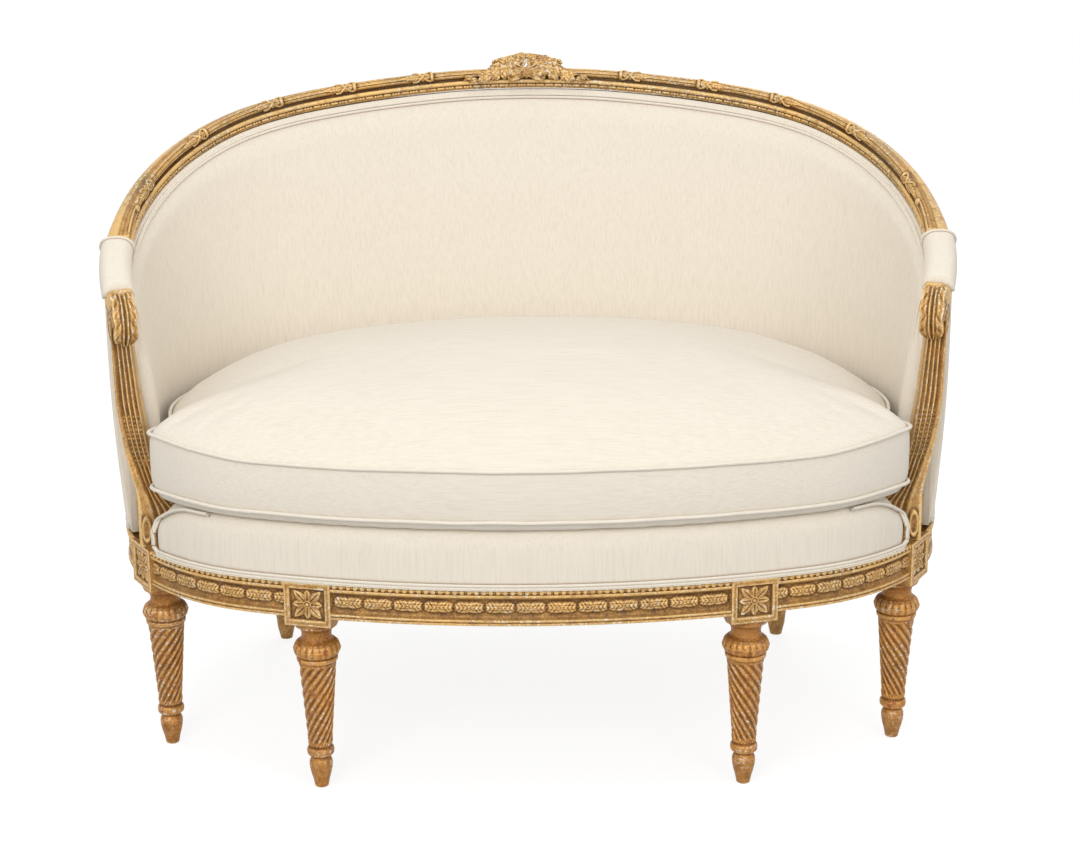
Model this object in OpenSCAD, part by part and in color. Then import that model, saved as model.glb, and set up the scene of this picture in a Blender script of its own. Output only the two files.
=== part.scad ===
// Cabriole sofa: a French neoclassical settee whose gilded back sweeps round into the arms in one oval.
// Millimetres. X runs along the sofa, +Y to its back, +Z up. The floor is z = 0.

/* [Seat plan] */
// Half the width over the seat rails
seat_half_w = 652; // [620:1:700]
// Half the depth over the seat rails
seat_half_d = 396; // [380:1:415]
// Radius of the long front and back stretches of the oval
bow_radius = 1320; // [1250:5:1450]

/* [Seat rails] */
// Height of the top of the seat rails
rail_top = 337; // [310:1:360]
// Height of a seat rail from its underside to its top
rail_h = 55; // [48:1:64]
// Thickness of a seat rail, face to back
rail_t = 58; // [50:1:62]
// Depth of the carved frieze behind the rail's mouldings
frieze_depth = 8; // [4:0.5:10]
// Width of the cross rails under the seat
brace_w = 40; // [30:1:55]
// Distance of a cross rail from the middle of the sofa, as a share of a front leg's
brace_share = 0.55; // [0.4:0.01:0.7]

/* [Legs] */
// Side of the square block at the head of a leg
die_w = 72; // [64:1:76]
// How far the block hangs below the rails
die_drop = 13; // [6:1:20]
// How far the block's face stands out from the rail
die_proud = 1; // [0.5:0.5:3]
// Distance of a front leg from the middle, as a share of the long front stretch of the oval
front_leg_share = 0.787; // [0.72:0.005:0.84]
// Angle of the corner legs' faces, forward of sideways
corner_leg_angle = 31; // [28:0.5:34]
// Angle of the back legs' faces, backward of sideways
back_leg_angle = 64; // [60:0.5:66]
// Radius of the carved collar
collar_r = 35.5; // [33:0.5:37]
// Height of the carved collar
collar_h = 24; // [20:1:28]
// Radius of the fluted shaft at its head
shaft_top_r = 28.5; // [26:0.5:30]
// Radius of the fluted shaft at its foot
shaft_foot_r = 17; // [15:0.5:19]
// Radius of the ring above the foot
ring_r = 20.5; // [19:0.5:23]
// Radius of the foot's bulb
bulb_r = 17.5; // [16:0.5:19]
// Radius of the tip that stands on the floor
tip_r = 10.5; // [9:0.5:13]

/* [Back and arms] */
// Height of the crest rail at the middle
crest_top = 1000; // [940:1:1060]
// Height of the crest rail's face
crest_h = 34; // [30:1:40]
// Thickness of the crest rail
crest_t = 36; // [32:1:40]
// How far the back leans out beyond the seat rail at the middle
back_rake = 75; // [50:1:100]
// How far the arms stand out beyond the seat rail
arm_flare = 11; // [8:1:18]
// Height of the ribbon bow above the crest
bow_rise = 26; // [18:1:34]
// How far back of the corner leg's middle an arm's front ends
arm_setback = 33; // [20:1:45]
// Length of an arm pad
arm_pad_l = 105; // [95:1:120]
// Radius of the scroll at the front of an arm
scroll_r = 30; // [28:0.5:33]
// Width of the scroll
scroll_w = 34; // [30:1:38]
// Width of the arm under its pad
arm_w = 40; // [36:1:44]
// Width of an arm support at its top
support_w = 28; // [24:1:32]
// Depth of an arm support, front to back
support_t = 36; // [32:1:42]
// Width of an arm support's spreading foot
support_foot_w = 72; // [66:1:76]

/* [Upholstery] */
// Height of the stuffed deck above the rails at its front edge
deck_h = 88; // [78:1:98]
// Rise of the deck's crown
deck_crown = 30; // [20:1:40]
// Thickness of the stuffing inside the back
pad_t = 16; // [12:0.5:20]
// How far the inside back swells in the middle of its height
pad_swell = 14; // [8:1:18]
// Thickness of the linen cover outside the back
cover_t = 4; // [3:0.5:5]
// Width of an arm pad
arm_pad_w = 47; // [44:1:52]
// Height of an arm pad above the wood
arm_pad_h = 26; // [20:1:30]
// Radius of a welt cord
welt_r = 3.5; // [2.5:0.5:4]

/* [Loose cushion] */
// Height of the lower seam above the deck
belly_h = 17; // [12:1:22]
// Height between the two seams at the cushion's edge
border_h = 76; // [68:1:86]
// Height of the crown above the upper seam
cushion_crown = 117; // [90:1:130]
// How far the cushion stands out over the front rail
cushion_overhang = 12; // [6:1:16]
// How much the cushion's sides are drawn in at the seams
seam_draw = 7; // [4:0.5:10]
// How far the upper seam lifts at the front corners
corner_lift = 13; // [6:1:18]

/* [Hidden] */
$fn = 96;

gold = "goldenrod";
beech = "burlywood";
jute = "peru";
linen = "antiquewhite";

// Gap round every soft solid
soft_gap = 0.3;
// Glue gap where a curved seat meets its neighbour
glue_gap = 0.2;
// Overrun of cuts and of pieces that are joined into one solid
overrun = 6;
// Step for slopes found by differences
slope_step = 2;

// General functions
function lerp(a, b, t) = a + (b - a) * t;
function clamp01(t) = min(1, max(0, t));
function ease(t) = let (c = clamp01(t)) c * c * (3 - 2 * c);
function unit(v) = v / norm(v);
function flip(pts) = [for (i = [len(pts) - 1 : -1 : 0]) pts[i]];
function mean(pts) = [for (k = [0:2]) [for (p = pts) p[k]] * [for (p = pts) 1] / len(pts)];
function arc(c, r, a0, a1, n) = [for (i = [0:n]) c + r * [cos(lerp(a0, a1, i / n)), sin(lerp(a0, a1, i / n))]];
// Smooth curve through evenly spaced shares, u from 0 to the last index
function through(shares, u) =
    let (last = len(shares) - 1, i = min(last - 1, max(0, floor(u))), t = u - i,
         a = shares[max(0, i - 1)], b = shares[i], c = shares[i + 1], d = shares[min(last, i + 2)])
    b + t * (c - a + t * (2 * a - 5 * b + 4 * c - d + t * (3 * (b - c) + d - a))) / 2;

// The plan is an oval of four arcs. A place on it is the direction its edge faces:
// -90 at the middle of the front, 0 at the right-hand side, 90 at the middle of the back.
end_radius = (pow(seat_half_w, 2) + pow(seat_half_d, 2) - 2 * bow_radius * seat_half_d)
    / (2 * (seat_half_w - bow_radius));
end_x = seat_half_w - end_radius;
bow_y = bow_radius - seat_half_d;
bow_angle = atan2(end_x, bow_y);
end_angle = 90 - bow_angle;
bow_len = bow_radius * bow_angle * PI / 180;
end_len = end_radius * 2 * end_angle * PI / 180;
// The set-back centres the whole sofa's depth on the origin
front_reach = seat_half_d + cushion_overhang;
back_reach = seat_half_d + back_rake;
set_y = (front_reach - back_reach) / 2;
// Each arc as [from facing, to facing, centre x, centre y, radius]; the front's comes first and last
arcs = [
    [end_angle - 180, -end_angle, 0, bow_y, bow_radius],
    [-end_angle, end_angle, end_x, 0, end_radius],
    [end_angle, 180 - end_angle, 0, -bow_y, bow_radius],
    [180 - end_angle, 180 + end_angle, -end_x, 0, end_radius],
    [180 + end_angle, 360 - end_angle, 0, bow_y, bow_radius]];
function arc_of(q) = [for (a = arcs) if (q >= a[0] && q <= a[1]) a][0];
function plan_at(q, off) = let (a = arc_of(q))
    [a[2] + (a[4] + off) * cos(q), set_y + a[3] + (a[4] + off) * sin(q)];
// Direction faced at a length s along the oval from the middle of the back
function facing(s) = let (a = abs(s))
    a <= bow_len ? 90 - a / bow_radius * 180 / PI
    : a <= bow_len + end_len ? end_angle - (a - bow_len) / end_radius * 180 / PI
    : -end_angle - (a - bow_len - end_len) / bow_radius * 180 / PI;
// Length along the oval from the middle of the back to a direction faced
function s_of(q) = q >= end_angle ? (90 - q) * PI / 180 * bow_radius
    : q >= -end_angle ? bow_len + (end_angle - q) * PI / 180 * end_radius
    : bow_len + end_len + (-end_angle - q) * PI / 180 * bow_radius;
function side_of(s) = s < 0 ? -1 : 1;
function plan(s, off) = let (p = plan_at(facing(s), off)) [side_of(s) * p.x, p.y];
function outward(s) = [side_of(s) * cos(facing(s)), sin(facing(s)), 0];
function at_z(p, z) = [p.x, p.y, z];

// Solids built from rings of points. Each ring runs anticlockwise seen from ahead.
module loft(rings, closed = false) {
    n = len(rings[0]);
    m = len(rings);
    points = concat([for (ring = rings) each ring], [mean(rings[0])], [mean(rings[m - 1])]);
    skin = [for (i = [0 : m - (closed ? 1 : 2)]) for (j = [0 : n - 1])
        let (a = i * n + j, b = i * n + (j + 1) % n,
             c = ((i + 1) % m) * n + (j + 1) % n, d = ((i + 1) % m) * n + j)
        each [[a, c, b], [a, d, c]]];
    caps = closed ? [] : [for (j = [0 : n - 1]) let (k = (j + 1) % n)
        each [[m * n, j, k], [m * n + 1, (m - 1) * n + k, (m - 1) * n + j]]];
    polyhedron(points = closed ? [for (ring = rings) each ring] : points,
        faces = concat(skin, caps), convexity = 8);
}

// A round or oval tube along a path of points
function tangent(path, i, closed) = let (m = len(path),
    a = path[closed ? (i + m - 1) % m : max(0, i - 1)],
    b = path[closed ? (i + 1) % m : min(m - 1, i + 1)]) unit(b - a);
function tube_ring(c, t, r, sides) = let (n = unit(cross(t, abs(t.z) > 0.9 ? [0, 1, 0] : [0, 0, 1])),
    b = cross(t, n)) [for (k = [0 : sides - 1]) c + r * (cos(k * 360 / sides) * n + sin(k * 360 / sides) * b)];
module tube(path, r, closed = false, sides = 6) {
    loft([for (i = [0 : len(path) - 1]) tube_ring(path[i], tangent(path, i, closed), r, sides)], closed);
}

module mirror_x() { mirror([1, 0, 0]) children(); }

module plan_region(off, steps = 36) {
    half = [for (i = [0:steps]) plan_at(lerp(-90, 90, i / steps), off)];
    polygon(concat(half, [for (p = flip(half)) if (p.x > overrun) [-p.x, p.y]]));
}

// Legs and seat rails
rail_z = rail_top - rail_h;
die_z = rail_z - die_drop;
die_h = rail_top - die_z;
leg_off = die_proud - die_w / 2;
front_leg_angle = -90 + bow_angle * front_leg_share;
// Legs anticlockwise from the left-hand front leg to the left-hand back leg
leg_facings = [-180 - front_leg_angle, front_leg_angle, -corner_leg_angle, back_leg_angle, 180 - back_leg_angle];
rail_mid_off = -rail_t / 2;
tenon_t = 10;
tenon_l = 26;
tenon_h = rail_h * 0.6;
peg_w = 6;
peg_past = 8;
tenon_x = rail_mid_off - leg_off;

module at_leg(q) { p = plan_at(q, leg_off); translate([p.x, p.y, 0]) rotate(q) children(); }
module tenon(side, reach = 0) {
    from = die_w / 2 - tenon_l;
    translate([tenon_x - tenon_t / 2, side > 0 ? from : -from - tenon_l - reach, rail_z + (rail_h - tenon_h) / 2])
        cube([tenon_t, tenon_l + reach, tenon_h]);
}
module peg(side) {
    translate([-die_w / 2, side * (die_w - tenon_l) / 2 - peg_w / 2, rail_z + (rail_h - peg_w) / 2])
        cube([die_w / 2 + tenon_x + tenon_t / 2 + peg_past, peg_w, peg_w]);
}
module die() { translate([-die_w / 2, -die_w / 2, die_z]) cube([die_w, die_w, die_h]); }

// Turned leg: tip, bulb, ring, fluted shaft, rim, collar and neck, from the floor up.
// Heights are shares of the height under the block.
bulb_share = 0.16;
waist_share = 0.19;
ring_foot_share = 0.195;
ring_head_share = 0.245;
shaft_foot_share = 0.255;
shaft_head_share = 0.765;
rim_share = 0.79;
waist_r = 12.5;
rim_lip = 2;
neck_r = 22;
neck_foot_r = 26;
neck_head_r = 32;
module turned_leg() {
    ring_half = (ring_head_share - ring_foot_share) * die_z / 2;
    ring_mid = (ring_head_share + ring_foot_share) * die_z / 2;
    collar_mid = rim_share * die_z + collar_h / 2;
    neck_h = die_z - collar_mid - collar_h / 2;
    foot = [[0, 0], [tip_r, 0], [lerp(tip_r, bulb_r, 0.7), bulb_share * die_z / 2]];
    bulb = arc([bulb_r - (bulb_r - waist_r) * 0.9, bulb_share * die_z], (bulb_r - waist_r) * 0.9, -20, 90, 5);
    ring = [for (p = arc([0, 0], 1, -80, 80, 8)) [ring_r + (p.x - 1) * ring_half, ring_mid + p.y * ring_half]];
    collar = [for (p = arc([0, 0], 1, -80, 80, 10)) [collar_r + (p.x - 1) * collar_h / 2,
        collar_mid + p.y * collar_h / 2]];
    shaft = [[shaft_foot_r, shaft_foot_share * die_z], [shaft_top_r, shaft_head_share * die_z],
        [shaft_top_r + rim_lip, shaft_head_share * die_z], [shaft_top_r + rim_lip, rim_share * die_z]];
    neck = [for (i = [0:6]) [lerp(neck_r, i < 2 ? neck_foot_r : neck_head_r, pow(abs(i - 2) / (i < 2 ? 2 : 4), 2)),
        lerp(collar_mid + collar_h / 2, die_z, i / 6)]];
    rotate_extrude() polygon(concat(foot, bulb, [[waist_r, waist_share * die_z]], ring, shaft, collar, neck,
        [[0, neck[6].y]]));
}
module leg(i) {
    color(gold) at_leg(leg_facings[i]) difference() {
        union() {
            turned_leg();
            die();
        }
        for (side = [-1, 1]) {
            tenon(side, overrun);
            peg(side);
        }
    }
}

// Outline of the rail in shares of its frieze depth and its height, from the back of its foot round its face
web_t = 1.6;
hessian_t = 0.8;
rebate = 2 * web_t + hessian_t;
rebate_w = 28;
face_shares = [[-0.5, 0], [-0.1, 0.04], [-0.1, 0.11], [-0.5, 0.14], [-1, 0.16], [-1, 0.24], [-0.45, 0.34],
    [-0.3, 0.44], [-0.45, 0.54], [-1, 0.63], [-1, 0.73], [-0.4, 0.75], [-0.4, 0.82], [-0.1, 0.86],
    [0, 0.93], [-0.2, 1]];
module rail_profile() {
    polygon(concat([[-rail_t, rail_z]], [for (p = face_shares) [p[0] * frieze_depth, rail_z + p[1] * rail_h]],
        [[rebate_w - rail_t, rail_top], [rebate_w - rail_t, rail_top - rebate], [-rail_t, rail_top - rebate]]));
}
module die_space() {
    translate([-die_w / 2, -die_w / 2, die_z - overrun]) cube([die_w + overrun, die_w, die_h + 2 * overrun]);
}
// The circle through three points of the plan, as centre x, centre y, radius
function circle_through(a, b, c) =
    let (u = b - a, v = c - a, k = 2 * (u.x * v.y - u.y * v.x),
         m = a + [v.y * (u * u) - u.y * (v * v), u.x * (v * v) - v.x * (u * u)] / k)
    [m.x, m.y - set_y, norm(a - m)];
// Each rail is one true arc from block to block
rail_arcs = [[0, bow_y, bow_radius],
    circle_through(plan_at(front_leg_angle, 0), plan_at((front_leg_angle - corner_leg_angle) / 2, 0),
        plan_at(-corner_leg_angle, 0)),
    [end_x, 0, end_radius], [0, -bow_y, bow_radius]];
function bearing(p, a) = atan2(p.y - set_y - a[1], p.x - a[0]);
module rail_sweep(i) {
    a = rail_arcs[i];
    end_trim = (die_w / 2 - overrun) / a[2] * 180 / PI;
    from = bearing(plan_at(leg_facings[i], leg_off), a) + end_trim;
    to = bearing(plan_at(leg_facings[i + 1], leg_off), a) - end_trim;
    translate([a[0], set_y + a[1], 0]) rotate(from)
        rotate_extrude(angle = to > from ? to - from : to + 360 - from, $fn = 240) translate([a[2], 0]) children();
}
// The rail from leg number i to the next one round, with a pegged tenon in each
module rail(i) {
    joints = [[leg_facings[i], 1], [leg_facings[i + 1], -1]];
    color(gold) difference() {
        union() {
            difference() {
                rail_sweep(i) rail_profile();
                for (joint = joints) at_leg(joint[0]) die_space();
            }
            for (joint = joints) at_leg(joint[0]) tenon(joint[1], overrun);
        }
        for (joint = joints) at_leg(joint[0]) peg(joint[1]);
    }
}
module tenon_pegs() {
    color(beech) for (i = [1:3]) for (side = [-1, 1]) {
        at_leg(leg_facings[i]) peg(side);
        mirror_x() at_leg(leg_facings[i]) peg(side);
    }
}
module inside_bow() { cylinder(r = bow_radius - rail_t, h = rail_h + 2 * overrun, $fn = 240); }
// A flat cross rail whose ends fit the inside of the front and back rails
module seat_brace_right() {
    color(beech) intersection() {
        translate([brace_share * plan_at(front_leg_angle, leg_off).x - brace_w / 2, set_y - seat_half_d, rail_z])
            cube([brace_w, 2 * seat_half_d, rail_h - rebate]);
        translate([0, set_y + bow_y, rail_z - overrun]) inside_bow();
        translate([0, set_y - bow_y, rail_z - overrun]) inside_bow();
    }
}

// The line of the crest and arms: heights as shares of the crest's, at even steps from the middle to the arm's end
crest_shares = [1, 0.998, 0.991, 0.981, 0.967, 0.944, 0.909, 0.866, 0.816, 0.762, 0.71];
crest_steps = len(crest_shares) - 1;
arm_reach = s_of(-corner_leg_angle) - arm_setback;
function top_z(s) = crest_top * through(crest_shares, clamp01(abs(s) / arm_reach) * crest_steps);
function crest_off(s) = lerp(arm_flare, back_rake, (1 + cos(180 * clamp01(abs(s) / (bow_len + end_len / 2)))) / 2);
function lean(s) = atan2(crest_off(s), top_z(s) - rail_top);
function spine(s) = at_z(plan(s, crest_off(s) - crest_t / 2), top_z(s) - crest_h / 2);
function along(s) = unit(spine(s + slope_step) - spine(s - slope_step));
// Position at n outward and b upward of the spine, square to its run and leaning with the back
function beside(s, n, b) = let (out = outward(s), up = unit(cross(along(s), out)), r = lean(s))
    spine(s) + n * (cos(r) * out - sin(r) * up) + b * (cos(r) * up + sin(r) * out);
crest_outline_shares = [[0.5, -0.5], [0.5, 0.1], [0.38, 0.36], [0.12, 0.5], [-0.18, 0.5], [-0.4, 0.34],
    [-0.5, 0.1], [-0.46, -0.12], [-0.34, -0.2], [-0.5, -0.26], [-0.5, -0.42], [-0.42, -0.5]];
function crest_ring(s) = [for (p = crest_outline_shares) beside(s, p[0] * crest_t, p[1] * crest_h)];
// The crest's joints come just past the back posts and at the arms' shoulders
joint_past_post = 52;
shoulder_l = 71;
scroll_s = arm_reach - scroll_r * 2 / 3;
pad_s1 = scroll_s - scroll_r * 0.8;
pad_s0 = pad_s1 - arm_pad_l;
crest_joint = s_of(back_leg_angle) + joint_past_post;
arm_joint = pad_s0 - shoulder_l;
module crest_run(s0, s1, steps) { loft([for (i = [0:steps]) crest_ring(lerp(s0, s1, i / steps))]); }
// Ribbon bow carved on the crest: two loops, a knot and two trailing leaf sprays
bow_loop_r = 15;
bow_cord_r = 4.5;
bow_tilt = 24;
knot_r = 9;
spray_l = 88;
spray_r = 7;
spray_height_shares = [0.3, 0.55, 0.5, 0.35, 0.1];
module crest_bow() {
    top = beside(0, 0, crest_h / 2);
    loop_z = bow_rise - bow_loop_r * 0.72 - bow_cord_r;
    for (side = [-1, 1]) {
        translate(top + [side * bow_loop_r, 0, loop_z]) rotate([90 - lean(0), 0, 0]) rotate(side * bow_tilt)
            rotate_extrude($fn = 32) translate([bow_loop_r * 0.72, 0]) circle(bow_cord_r, $fn = 16);
        steps = len(spray_height_shares) - 1;
        tube([for (i = [0:steps]) beside(side * lerp(bow_loop_r, spray_l, i / steps), 0,
            crest_h / 2 + (spray_height_shares[i] - 0.5) * spray_r)], spray_r);
    }
    translate(top - [0, crest_t / 3, knot_r - loop_z]) rotate([-90, 0, 0])
        cylinder(r = knot_r, h = crest_t * 0.6, $fn = 32);
}
module crest_centre() {
    color(gold) union() {
        crest_run(-crest_joint, crest_joint, 26);
        crest_bow();
    }
}
module crest_right() { color(gold) crest_run(crest_joint, arm_joint, 12); }

// Arm rail: full section at the joint, cut down flat under the pad, and a scroll at its front
pad_seat = crest_h * 0.48;
scroll_drop = 15;
function arm_ring(s, cut, w = arm_w) = [for (p = crest_outline_shares)
    beside(s, p[0] * lerp(crest_t, w, ease((abs(s) - arm_joint) / (pad_s0 - arm_joint))),
        min(p[1] * crest_h, cut ? crest_h / 2 - pad_seat : crest_h))];
function scroll_centre() = beside(scroll_s, 0, crest_h / 2 - scroll_r - scroll_drop);
module scroll(r, w) {
    c = scroll_centre();
    translate(c) rotate(facing(scroll_s)) rotate([0, 90, 0]) translate([0, 0, -w / 2]) cylinder(r = r, h = w, $fn = 64);
}
module arm_right() {
    shoulder = [for (s = [arm_joint, lerp(arm_joint, pad_s0, 0.33), lerp(arm_joint, pad_s0, 0.67), pad_s0])
        arm_ring(s, false)];
    padded = [for (i = [0:4]) arm_ring(lerp(pad_s0, pad_s1, i / 4) + (i == 0 ? 1 : i == 4 ? -1 : 0) * soft_gap, true)];
    nose = [arm_ring(pad_s1, false), arm_ring(scroll_s - scroll_r * 0.15, false, scroll_w * 0.8)];
    color(gold) union() {
        loft(concat(shoulder, padded, nose));
        scroll(scroll_r, scroll_w);
    }
}

// Arm support: a narrow fluted stem above a foot that spreads towards the middle of the sofa.
// Each row gives shares: height, how far the inner edge and the outer edge have moved out, and how far it leans back.
support_shares = [[0, 0, 0.66, 0], [0.11, 0.02, 0.64, 0], [0.18, 0.12, 0.61, 0.02], [0.235, 0.42, 0.63, 0.06],
    [0.34, 0.56, 0.74, 0.16], [0.44, 0.69, 0.83, 0.3], [0.65, 0.86, 0.95, 0.64], [0.9, 1, 1, 1], [1, 1, 1, 1]];
support_foot_t = 44;
support_front = 29;
function support_rows() =
    let (top = scroll_centre(), foot = plan_at(-corner_leg_angle, leg_off),
         inner_top = top.x - support_w / 2, outer_top = inner_top + support_w,
         outer_foot = foot.x + die_w * 0.38, inner_foot = outer_foot - support_foot_w,
         lean_back = top.y - support_t / 2 - (foot.y - support_front))
    [for (row = support_shares)
        let (z = lerp(rail_top, top.z, row[0]), x0 = lerp(inner_foot, inner_top, row[1]),
             x1 = lerp(outer_foot - (outer_top - outer_foot) * 1.9, outer_top, row[2] < 0.66 ? 0.66 : row[2]),
             y0 = foot.y - support_front + lean_back * row[3], y1 = y0 + lerp(support_foot_t, support_t, row[0]))
        [z, x0, x1, y0, y1]];
support_round_share = 0.12;
module arm_support_right() {
    rows = support_rows();
    rings = [for (r = rows) let (z = r[0], x0 = r[1], x1 = r[2], y0 = r[3], y1 = r[4], e = (x1 - x0) * support_round_share)
        [[x0 + e, y0, z], [x1 - e, y0, z], [x1, y0 + e, z], [x1, y1 - e, z], [x1 - e, y1, z], [x0 + e, y1, z],
         [x0, y1 - e, z], [x0, y0 + e, z]]];
    color(gold) difference() {
        loft(rings);
        scroll(scroll_r + glue_gap, scroll_w * 2);
    }
}

// Surfaces of the back. t runs from -1 at the left arm to 1 at the right arm, w from 0 at the foot to 1 at the crest
panel_gap = 0.8;
bar_t = 25;
bar_out = 11;
bar_in = bar_out + bar_t;
bar_z = 350;
bar_h = 42;
panel_foot = bar_z + bar_h;
edge_clear = 2;
// Length along the oval at which an arm passes a given depth
function s_at(y) = bow_len + (end_angle - asin((y - set_y) / (end_radius + arm_flare / 2))) * PI / 180 * end_radius;
head_reach = s_at(scroll_centre().y + scroll_r + edge_clear);
function under_crest(s, side) = spine(s).z - crest_h / 2 / norm([along(s).x, along(s).y])
    - side * crest_t / 2 * sin(lean(s)) - panel_gap;
// The panels' front edges follow the backs of the arm supports, each as [share of the height, length along the oval]
edge_shares = let (foot = panel_foot, head = under_crest(head_reach, 0))
    [for (r = support_rows()) if (r[0] < head) [(r[0] - foot) / (head - foot), s_at(r[4] + edge_clear)]];
function panel_s(t, w) = t * lerp(min(lookup(w, edge_shares), edge_shares[0][1]), head_reach, pow(w, 6));
function panel_head(t, side = 0) = under_crest(panel_s(t, 1), side);
function panel_z(t, w) = lerp(panel_foot, panel_head(t), w);
function panel_at(t, w, foot_off, head_off) = let (s = panel_s(t, w))
    at_z(plan(s, lerp(foot_off, crest_off(panel_s(t, 1)) + head_off, w)), panel_z(t, w));
pad_hem = 24;
pad_back_foot = -bar_in - 2 * web_t - soft_gap;
pad_back_head = -crest_t * 0.8;
pad_rows = 10;
pad_columns = 46;
function swell(w) = sin(180 * pow(w, 0.8));
function tuck(w) = 1 - 0.55 * ease((w - 0.9) / 0.1);
function pad_front(t, w) = panel_at(t, w, pad_back_foot - pad_t - pad_swell * swell(w),
    pad_back_head - pad_t * tuck(w) - pad_swell * swell(w));
function hem(p) = p - [0, 0, pad_hem];
module inside_back_pad() {
    rings = [for (i = [0:pad_columns]) let (t = lerp(-1, 1, i / pad_columns))
        concat([hem(panel_at(t, 0, pad_back_foot, pad_back_head))],
            [for (j = [0:3]) panel_at(t, j / 3, pad_back_foot, pad_back_head)],
            [for (j = [0:pad_rows]) pad_front(t, 1 - j / pad_rows)], [hem(pad_front(t, 0))])];
    color(linen) loft(rings);
}
function welt_path(w, off) = [for (i = [0:pad_columns]) let (t = lerp(-1, 1, i / pad_columns))
    pad_front(t, w) - off * outward(panel_s(t, 1))];
module inside_back_welt() {
    color(linen) tube(welt_path(0.975, welt_r + 3 * soft_gap), welt_r);
}
cover_inset = 1;
cover_swell = 5;
cover_rows = 5;
cover_z = rail_top + 2 * (welt_r + soft_gap);
function cover_at(t, w, out) = let (off = out - cover_t - cover_inset + cover_swell * swell(w),
    p = panel_at(t, w, off, off - cover_inset)) at_z(p, lerp(cover_z, panel_head(t, 1), w));
module outside_back_cover() {
    rings = [for (i = [0:pad_columns]) let (t = lerp(-1, 1, i / pad_columns))
        concat([for (j = [0:cover_rows]) cover_at(t, j / cover_rows, cover_t)],
            [for (j = [0:cover_rows]) cover_at(t, 1 - j / cover_rows, 0)])];
    color(linen) loft(rings);
}
module outside_back_welt() {
    color(linen) tube([for (i = [0 : 2 * pad_columns]) let (s = panel_s(lerp(-1, 1, i / (2 * pad_columns)), 0))
        at_z(plan(s, welt_r - cover_t - cover_inset), rail_top + welt_r + soft_gap)], welt_r);
}

// Back posts rise from the back legs, upright past the lower rails and then leaning to the crest
post_w = 44;
post_clear = 1;
post_off = -cover_t - cover_inset - post_clear;
post_t = bar_in + post_off;
post_head_shares = [-0.14, 0.32];
module back_post() {
    s = s_of(back_leg_angle);
    foot = [for (c = [[1, -1], [1, 1], [-1, 1], [-1, -1]])
        plan_at(back_leg_angle, post_off - post_t / 2 + c[0] * post_t / 2)
        + c[1] * post_w / 2 * [-sin(back_leg_angle), cos(back_leg_angle)]];
    head = [for (c = [[1, -1], [1, 1], [-1, 1], [-1, -1]])
        beside(s - c[1] * post_w / 2, post_head_shares[(c[0] + 1) / 2] * crest_t, -crest_h / 2 - 3 * glue_gap)];
    loft([[for (p = foot) at_z(p, rail_top - overrun)], [for (p = foot) at_z(p, panel_foot)], head]);
}
module leg_back_right() {
    color(gold) union() {
        leg(3);
        back_post();
    }
}
module post_space() {
    p = plan_at(back_leg_angle, post_off - post_t / 2);
    translate([p.x, p.y, bar_z - overrun]) rotate(back_leg_angle) translate([-post_t, -post_w / 2, 0])
        cube([2 * post_t, post_w, bar_h + 2 * overrun]);
}
// Lower rails that the back's linen is nailed to, between the posts and from the posts to the arm supports
module bar_profile() { translate([-bar_in, bar_z]) square([bar_t, bar_h]); }
module lower_back_rail() {
    color(beech) difference() {
        rail_sweep(3) bar_profile();
        post_space();
        mirror_x() post_space();
    }
}
module lower_side_rail_right() {
    back_face = support_rows()[0][4];
    color(beech) difference() {
        rail_sweep(2) bar_profile();
        post_space();
        translate([0, back_face - 2 * seat_half_d, bar_z - overrun])
            cube([2 * seat_half_w, 2 * seat_half_d, bar_h + 2 * overrun]);
    }
}

// Webbing under the seat: strips along the sofa below, strips across it above
web_w = 50;
web_pitch_x = 108;
web_pitch_y = 96;
web_clear = 2;
web_edge = rebate_w - rail_t - web_clear;
module all_dies() {
    for (i = [1:3]) {
        at_leg(leg_facings[i]) die_space();
        mirror_x() at_leg(leg_facings[i]) die_space();
    }
}
module web_layer(z, t) { translate([0, 0, z]) linear_extrude(t) plan_region(web_edge); }
module seat_webbing() {
    z = rail_top - rebate;
    color(jute) difference() {
        union() {
            intersection() {
                web_layer(z, web_t);
                for (i = [-3:3]) translate([-seat_half_w, set_y + i * web_pitch_y - web_w / 2, z])
                    cube([2 * seat_half_w, web_w, web_t]);
            }
            intersection() {
                web_layer(z + web_t, web_t);
                for (i = [-5:5]) translate([i * web_pitch_x - web_w / 2, set_y - seat_half_d, z + web_t])
                    cube([web_w, 2 * seat_half_d, web_t]);
            }
        }
        all_dies();
    }
}
module seat_hessian() {
    color(jute) difference() {
        web_layer(rail_top - hessian_t, hessian_t);
        all_dies();
    }
}
// Upright webbing inside the back
module back_webbing() {
    inner = -bar_in - web_t - 2.5 * soft_gap;
    head = pad_back_head + web_t - 1.5 * soft_gap;
    color(jute) for (i = [-6:6]) {
        t0 = (i - 0.17) / 7;
        t1 = (i + 0.17) / 7;
        ends = [[t1, web_t], [t1, 0], [i / 7, 0], [t0, 0], [t0, web_t], [i / 7, web_t]];
        loft(concat([[for (e = ends) hem(panel_at(e[0], 0, inner + e[1], head + e[1]))]],
            [for (w = [0, 0.5, 0.985]) [for (e = ends) panel_at(e[0], w, inner + e[1], head + e[1])]]));
    }
}

// Stuffed deck: a rolled lip over the front rail, cut away round the arm supports, and a shallow crown
deck_top = rail_top + deck_h;
deck_side_off = -66;
deck_clear = 14;
lip_end_angle = 39.5;
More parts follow.
